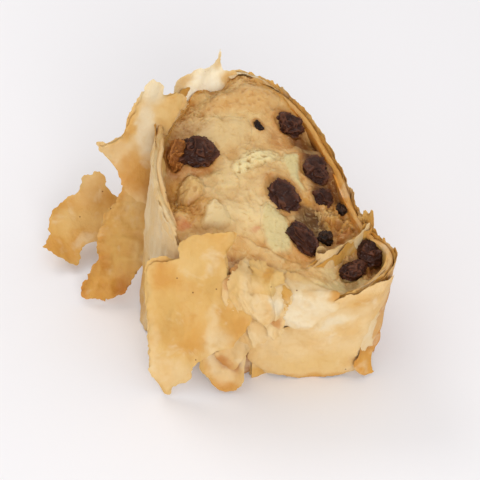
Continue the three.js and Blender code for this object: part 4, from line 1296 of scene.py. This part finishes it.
# Place, turn and lean of the plane, wave, bow and outline, as in the solid. Then tone, soft areas, torn
# depth and how many more sheets lie behind.
LOOSE = {
    "front_flap": dict(
        at=(-24, -62.6, 0), turn=-10, lean=17, wave=(1.1, 21, 0.4), bow=(0.004, 0.0015), tone="straw",
        tear=0.5, under=1,
        areas=[(-4, 41, 4, 5, 0, "orange", 0.9), (0, 28, 7, 12, 0, "gold", 0.8),
            (6, 22, 5, 7, 0, "orange", 0.6), (18, 28, 6, 8, 15, "orange", 0.4),
            (10, 38, 5, 8, 0, "gold", 0.7), (8, 54, 9, 6, 0, "gold", 0.3), (0, 7, 9, 5, 0, "pale", 0.8),
            (-7, 14, 2, 10, 0, "pale", 0.8), (15, 21, 5, 5, 30, "cream", 0.7),
            (12, 29, 2, 7, 0, "cream", 0.25)],
        outline=[(-1.5, 52.3), (1.5, 55.8), (5.5, 58), (12.7, 59.4), (17, 60), (16.4, 56.6), (14, 51.5),
            (15.6, 47.3), (15.9, 44.6), (18.5, 42.7), (20.1, 39.8), (21.1, 36.1), (24.5, 32.5),
            (24.3, 29), (20.6, 23.7), (19, 20), (14.2, 18.3), (9.1, 13.8), (6.8, 10.8), (6.7, 6.1),
            (1.3, 3.3), (-0.4, 0.6), (-2.4, 3.7), (-6.9, 6.9), (-6.8, 12.7), (-8.9, 23.1), (-10, 40.5),
            (-9.8, 44.7), (-8, 46.7), (-1, 47.9), (0.2, 49.1)]),
    "left_tall": dict(
        at=(-35, -4, 40), turn=4, lean=8, wave=(1, 15, 1.3), bow=(-0.01, 0.001), tone="pale", tear=0.7,
        under=1,
        areas=[(3, 36, 5, 5, 0, "white", 0.9), (-12, 13, 6, 4, 0, "cream", 0.9),
            (-3, 5, 6, 8, 0, "orange", 0.8), (0, 20, 3, 9, 0, "white", 0.6),
            (9, 28, 5, 6, 0, "straw", 0.9), (-5, 22, 2, 8, -20, "gold", 0.6)],
        outline=[(1.1, 39.4), (4.9, 37.6), (5.9, 35.8), (5.2, 33.2), (7.5, 32.6), (10, 33.2), (12, 32),
            (10.5, 28), (8, 23), (6.5, 17), (5.5, 10), (6, 2), (7, -6), (-2, -7), (-8, -3), (-9.4, 4.5),
            (-13.3, 9.5), (-16.9, 13.3), (-16.5, 14.8), (-8.9, 15.9), (-6.2, 22.6), (-3.5, 29.2),
            (-0.6, 36.5)]),
    "left_flap": dict(
        at=(-50, -20, 0), turn=-12, lean=33, wave=(1.4, 17, 2.2), bow=(0.012, 0.003), tone="gold",
        tear=0.9, under=1, crumple=1.0,
        areas=[(10, 40, 10, 8, 0, "straw", 0.8), (3, 20, 6, 10, 0, "gold", 0.7),
            (0, 5, 8, 5, 0, "orange", 0.8), (7, 6, 3, 4, 0, "toast", 0.7),
            (12, 24, 4, 9, 0, "straw", 0.6)],
        outline=[(-5, 0.6), (-7, 4), (-3, 12), (-5, 23), (-2, 30), (1, 36), (2, 43), (8, 47), (18, 45),
            (20, 24), (13, 16), (9, 8), (8, 3), (0, 0.8)]),
    "side_flake": dict(
        at=(-62, -5, 0.6), turn=14, lean=60, wave=(0.9, 16, 0.9), bow=(0.003, 0.003), tone="gold",
        tear=0.7,
        areas=[(10, 30, 6, 6, 0, "pale", 0.7), (-6, 10, 4, 4, 0, "orange", 0.9),
            (5, 18, 8, 6, 0, "straw", 0.6)],
        outline=[(3.5, 1.2), (1, 0.4), (-1, 3.4), (-9.6, 9), (-6.5, 11), (-5, 20.5), (1.5, 28),
            (6.6, 28), (8, 34), (12.6, 36.5), (16.7, 35), (17.5, 28), (21, 25), (38, 17), (38, 6),
            (22, 5), (11.7, 9), (5, 8.3)]),
    "back_sheet": dict(
        at=(-16, 25.5, 57.1), turn=32, lean=6, wave=(0.5, 14, 0.2), bow=(0, 0.006), tone="snow", tear=0.5,
        areas=[(-10, 7, 5, 3, 40, "pale", 0.7), (4, 13, 2, 4, 0, "cream", 0.7),
            (9, 3, 4, 4, 0, "straw", 0.8)],
        outline=[(-15, -3), (-14.2, 2.2), (-12.9, 5.7), (-10.8, 9), (-8.4, 10.2), (-5.6, 12),
            (-0.9, 11.4), (2.2, 11.3), (3.6, 16.3), (4.8, 17.1), (4.9, 10.1), (6.8, 6.8), (11.2, 6.3),
            (11.9, -3), (4, -6), (-8, -8)]),
    "left_inner": dict(
        at=(-29, 2, 58), turn=8, lean=35, wave=(0.4, 10, 0.7), bow=(0.01, 0), tone="straw", tear=0.5,
        under=1,
        areas=[(0, 4, 4, 4, 0, "gold", 0.6), (5, 9, 3, 3, 0, "pale", 0.8)],
        outline=[(-5.2, 4.3), (-4.8, 7.6), (-3, 10.2), (-1, 10.7), (1.7, 10), (3.7, 11.2), (6.1, 11.8),
            (7.6, 10.1), (6.2, 7.5), (4.1, 5.3), (1.7, 3), (-0.1, 0.5), (-1.5, -2.1), (-3, -4.7),
            (-4.9, -3), (-5.7, 0.4)]),
    "low_flap": dict(
        at=(-2, -60, 0), turn=-4, lean=15, wave=(0.5, 12, 0.6), bow=(0.01, 0), tone="pale", tear=0.5,
        under=1,
        areas=[(1, 20, 4, 5, 0, "cream", 0.8), (-6, 10, 4, 2, -30, "toast", 0.7)],
        outline=[(-8.6, 13.7), (-5.5, 15.1), (-2, 17), (-0.2, 22), (2, 28), (7, 28), (5, 19),
            (2.4, 14.1), (0.6, 10.9), (-1.2, 7.8), (-4.1, 7.9), (-6.6, 11)]),
    "curl": dict(
        at=(-4, -61, 0.6), turn=0, lean=30, wave=(0.3, 11, 0), bow=(0.04, 0.01), tone="cream", tear=0.5,
        areas=[(-9, 7, 2, 6, 25, "gold", 1.2), (-2, 1.2, 7, 2.4, 0, "orange", 1.2),
            # The brown band is a painted shadow where the curl meets the low flap.
            (-4, 7, 2.5, 5, 20, "cream", 1.0), (-3, 12, 7, 2.2, -40, "brown", 1.3),
            (3.5, 6, 2, 5, -20, "pale", 1)],
        outline=[(-10.8, 10.6), (-10.3, 7), (-8, 3.6), (-4.6, 0.8), (-1, 0), (2.3, 0.7), (4, 4), (5, 8),
            (4, 18.5), (-4, 18.5), (-8.4, 13.3)]),
    "right_flap": dict(
        at=(41.5, -49.5, 0.6), turn=42, lean=12, wave=(0.4, 9, 0.5), bow=(0.01, 0), tone="orange",
        tear=0.5,
        areas=[(0, 14, 4, 5, 0, "toast", 0.8)],
        outline=[(-8, 8.2), (-4, 9), (-3, 18), (4.5, 18), (5, 12), (1.6, 8), (0, 2), (0.9, 0),
            (-4.4, 0.7)]),
    "spikes": dict(
        at=(37, -26, 40), turn=-20, lean=0, wave=(0.3, 8, 0.2), bow=(0, 0), tone="gold", tear=0.2,
        under=1,
        outline=[(0, -4), (-1, 4), (-3, 7), (-1, 6), (-1, 9), (1, 7), (2, 11), (2.4, 6), (3, 1), (3, -3)]),
    "corner_peak": dict(
        at=(43, -32.5, 40), turn=-15, lean=0, wave=(0.2, 8, 0.3), bow=(0, 0), tone="toast", tear=0.2,
        outline=[(-4, 1), (-2, 3), (-1.6, 5.2), (-0.8, 3), (1, 2), (2, -2), (0, -4), (-3, -3)]),
}

# The crumpled edge between the front flap and the fold, drawn as the fold is. First the sheet below,
# then the flakes on it: tone, where and which way each stands off, soft areas and outline.
CRUMPLE_BED = [(0.3, -5), (2.9, 2.1), (5.8, 7), (9, 7.5), (13.9, 6), (18.7, 3.5), (21.6, 1.1), (22.3, -2.5),
               (21, -7.7), (19.7, -12), (21, -15), (17.7, -19.5), (12.6, -24), (8.7, -27), (5.5, -24.5),
               (0.6, -13.5)]
BED_AREAS = [
    # The toast areas are painted shade in pockets of the crumpled edge.
    (3, -1, 2.5, 5, 0, "toast", 0.9),
    (17.5, -13.5, 2, 2, 0, "toast", 1),
    (12, -18, 6, 5, 0, "cream", 1),
]
CRUMPLE_FLAKES = {
    # On the flakes, the orange and toast areas are painted shade in pockets and slots.
    "crumple_ridge": dict(
        tone="pale", free=(5, -5, 1, 0),
        areas=[(8.5, 0, 1.6, 9, 12, "cream", 0.9), (4, -5, 1.5, 6, 0, "straw", 0.7)],
        outline=[(5.8, 9.2), (7.4, 9.2), (7.9, 3.8), (8.9, -1.5), (10.2, -5.9), (11, -9.9), (9, -12.1),
            (6.5, -14.9), (4.2, -11.8), (2.6, -8.4), (2.3, -2.7), (3.2, 1.8)]),
    "crumple_cup": dict(
        tone="straw", free=(10, 0, 0.6, 0.8),
        areas=[(14, 4, 1.5, 2.6, -30, "orange", 1.3), (10, -2, 2, 3, 0, "pale", 1)],
        outline=[(7.7, 9.2), (11.3, 9.2), (13.9, 7.2), (18.7, 4.5), (19.4, 2.5), (17.1, -1.5),
            (14.5, -4.2), (11.3, -6), (9.4, -3.2), (8.1, 3)]),
    "crumple_low": dict(
        tone="pale", free=(16, -5, -0.6, -0.8),
        areas=[(12, -9, 2, 4, 20, "cream", 1), (17, -6, 2, 3, 0, "white", 0.8)],
        outline=[(9.4, -5), (11.3, -3.5), (14.5, -1.5), (17.1, 0.5), (19.4, -5), (19.7, -7.7),
            (17.7, -11.9), (14.5, -14.6), (11.3, -14.3), (9.7, -11.8)]),
    "crumple_side": dict(
        tone="gold", free=(19, -4, 1, 0),
        areas=[(20.5, -2, 1, 3, 0, "orange", 0.8)],
        outline=[(18.4, 0.9), (20.3, 1.7), (21.9, -0.3), (21.6, -4.6), (20.3, -8.4), (19, -6.9),
            (19.4, -3.2)]),
    "crumple_base": dict(
        tone="pale", free=(13, -16, 0, -1),
        areas=[(12, -20, 4, 3, 0, "cream", 1), (18.5, -14, 1.2, 1, 0, "toast", 1)],
        outline=[(5.5, -15.5), (9.4, -13.6), (12.6, -14.6), (16.8, -13.6), (20.6, -14.6), (18.4, -19.8),
            (13.5, -23.9), (8.7, -27.7), (6.5, -25)]),
}


def crumpled(lift, free=None):
    """Dough pushed together into crests that run down to the right. Past `free` a flake stands off."""
    def relief(a, t):
        bend = 1.8 * fractal(a / 7, t / 7, 3.0, 2, 1201)
        folds = ridges((a + 0.3 * t + bend) / 5.6, (t - bend) / 9, 5.0, 3, 1203)
        off = 0.05 * np.maximum(0, (a - free[0]) * free[2] + (t - free[1]) * free[3]) if free else 0.0
        return lift + 0.95 * folds + off
    return relief


def middle_of(outline):
    """The middle of the outline's box, where a sheet's bow is zero."""
    points = np.array(outline, float)
    return (points.min(0) + points.max(0)) / 2


def make_loose_sheets():
    """The torn sheets that stand off the wall, and the crumpled edge at the front."""
    for k, (name, row) in enumerate(LOOSE.items()):
        surface = Plane(row["at"], row["turn"], row["lean"])
        seed = 900 + 11 * k
        relief = wavy(*row["wave"], *row["bow"], middle_of(row["outline"]), seed)
        sheet(name, surface, row["outline"], relief, row["tone"], areas=row.get("areas", ()),
              tear=row["tear"], seed=seed, curl=0.7, under=row.get("under", 0),
              crumple=row.get("crumple", 0), crease=6.5)
    sheet("crumple_bed", FRONT_FOLD, CRUMPLE_BED, crumpled(0.9), "pale", areas=BED_AREAS, step=0.45,
          tear=0.9, seed=1201, curl=0.1)
    for k, (name, row) in enumerate(CRUMPLE_FLAKES.items()):
        relief = crumpled(1.35 - 0.08 * k, row["free"])
        sheet(name, FRONT_FOLD, row["outline"], relief, row["tone"], areas=row["areas"], step=0.42, tear=1.2,
              seed=1100 + 9 * k, curl=-0.1)


make_loose_sheets()


# ---------------------------------------------------------------- stage, light and camera

def make_stage():
    """A wide pale floor, which isn't part of the slice."""
    n = Nodes("pale_floor")
    n.set(Specular_IOR_Level=0.2)
    tone = n.noise(400, 2, 0.5)
    colour = n.mix(tone, srgb(236, 235, 238), srgb(238, 237, 240))
    material = n.finish(colour, 0.6, tone, 0.01)
    mesh = bpy.data.meshes.new("floor")
    size = 3.0
    corners = [(x * size, y * size, 0) for x, y in ((-1, -1), (1, -1), (1, 1), (-1, 1))]
    mesh.from_pydata(corners, [], [(0, 1, 2, 3)])
    mesh.materials.append(material)
    floor = bpy.data.objects.new("floor", mesh)
    bpy.context.scene.collection.objects.link(floor)


WARM_WHITE = (1.0, 0.985, 0.97)


def add_softbox(name, place, target, size, watts, colour=(1, 1, 1)):
    """A round soft light that faces a target."""
    light = bpy.data.lights.new(name, "AREA")
    light.shape = "DISK"
    light.size = size
    light.energy = watts
    light.color = colour
    lamp = bpy.data.objects.new(name, light)
    lamp.location = place
    lamp.rotation_euler = (Vector(target) - Vector(place)).to_track_quat("-Z", "Y").to_euler()
    bpy.context.scene.collection.objects.link(lamp)


def make_light():
    world = bpy.data.worlds.new("studio")
    world.use_nodes = True
    background = world.node_tree.nodes["Background"]
    background.inputs["Color"].default_value = (*WARM_WHITE, 1)
    background.inputs["Strength"].default_value = 0.80
    bpy.context.scene.world = world
    add_softbox("window", (-0.45, 0.55, 0.75), target=(0, 0, 0.02), size=0.45, watts=2.0, colour=WARM_WHITE)
    add_softbox("fill", (0.15, -0.95, 0.4), target=(0, 0, 0.03), size=0.6, watts=5.4)
    bpy.context.scene.view_settings.view_transform = "Standard"


# The camera: millimetres from the slice's own origin, its elevation, roll and picture angle.
VIEW_TARGET = np.array([-3.113, 16.353, 0.0])
VIEW_DISTANCE = 600.0
VIEW_ELEVATION = 39.83
VIEW_ROLL = 2.315
FOCAL_PIXELS = 1663.4
PICTURE_WIDTH = 480
SENSOR_WIDTH = 36


def make_camera():
    """The camera at the photograph's angle. The target is in the middle of its picture."""
    elevation, roll = math.radians(VIEW_ELEVATION), math.radians(VIEW_ROLL)
    back = Vector((0, -math.cos(elevation), math.sin(elevation)))
    right = Vector((1, 0, 0))
    up = Vector((0, math.sin(elevation), math.cos(elevation)))
    across = right * math.cos(roll) + up * math.sin(roll)
    upwards = up * math.cos(roll) - right * math.sin(roll)
    data = bpy.data.cameras.new("camera")
    data.sensor_width = SENSOR_WIDTH
    data.lens = SENSOR_WIDTH * FOCAL_PIXELS / PICTURE_WIDTH
    data.clip_start = 0.01
    camera = bpy.data.objects.new("camera", data)
    place = Vector(((VIEW_TARGET + FRAME_SHIFT) * MM).tolist()) + back * VIEW_DISTANCE * MM
    camera.matrix_world = Matrix.Translation(place) @ Matrix((across, upwards, back)).transposed().to_4x4()
    bpy.context.scene.collection.objects.link(camera)
    bpy.context.scene.camera = camera


make_stage()
make_light()
make_camera()
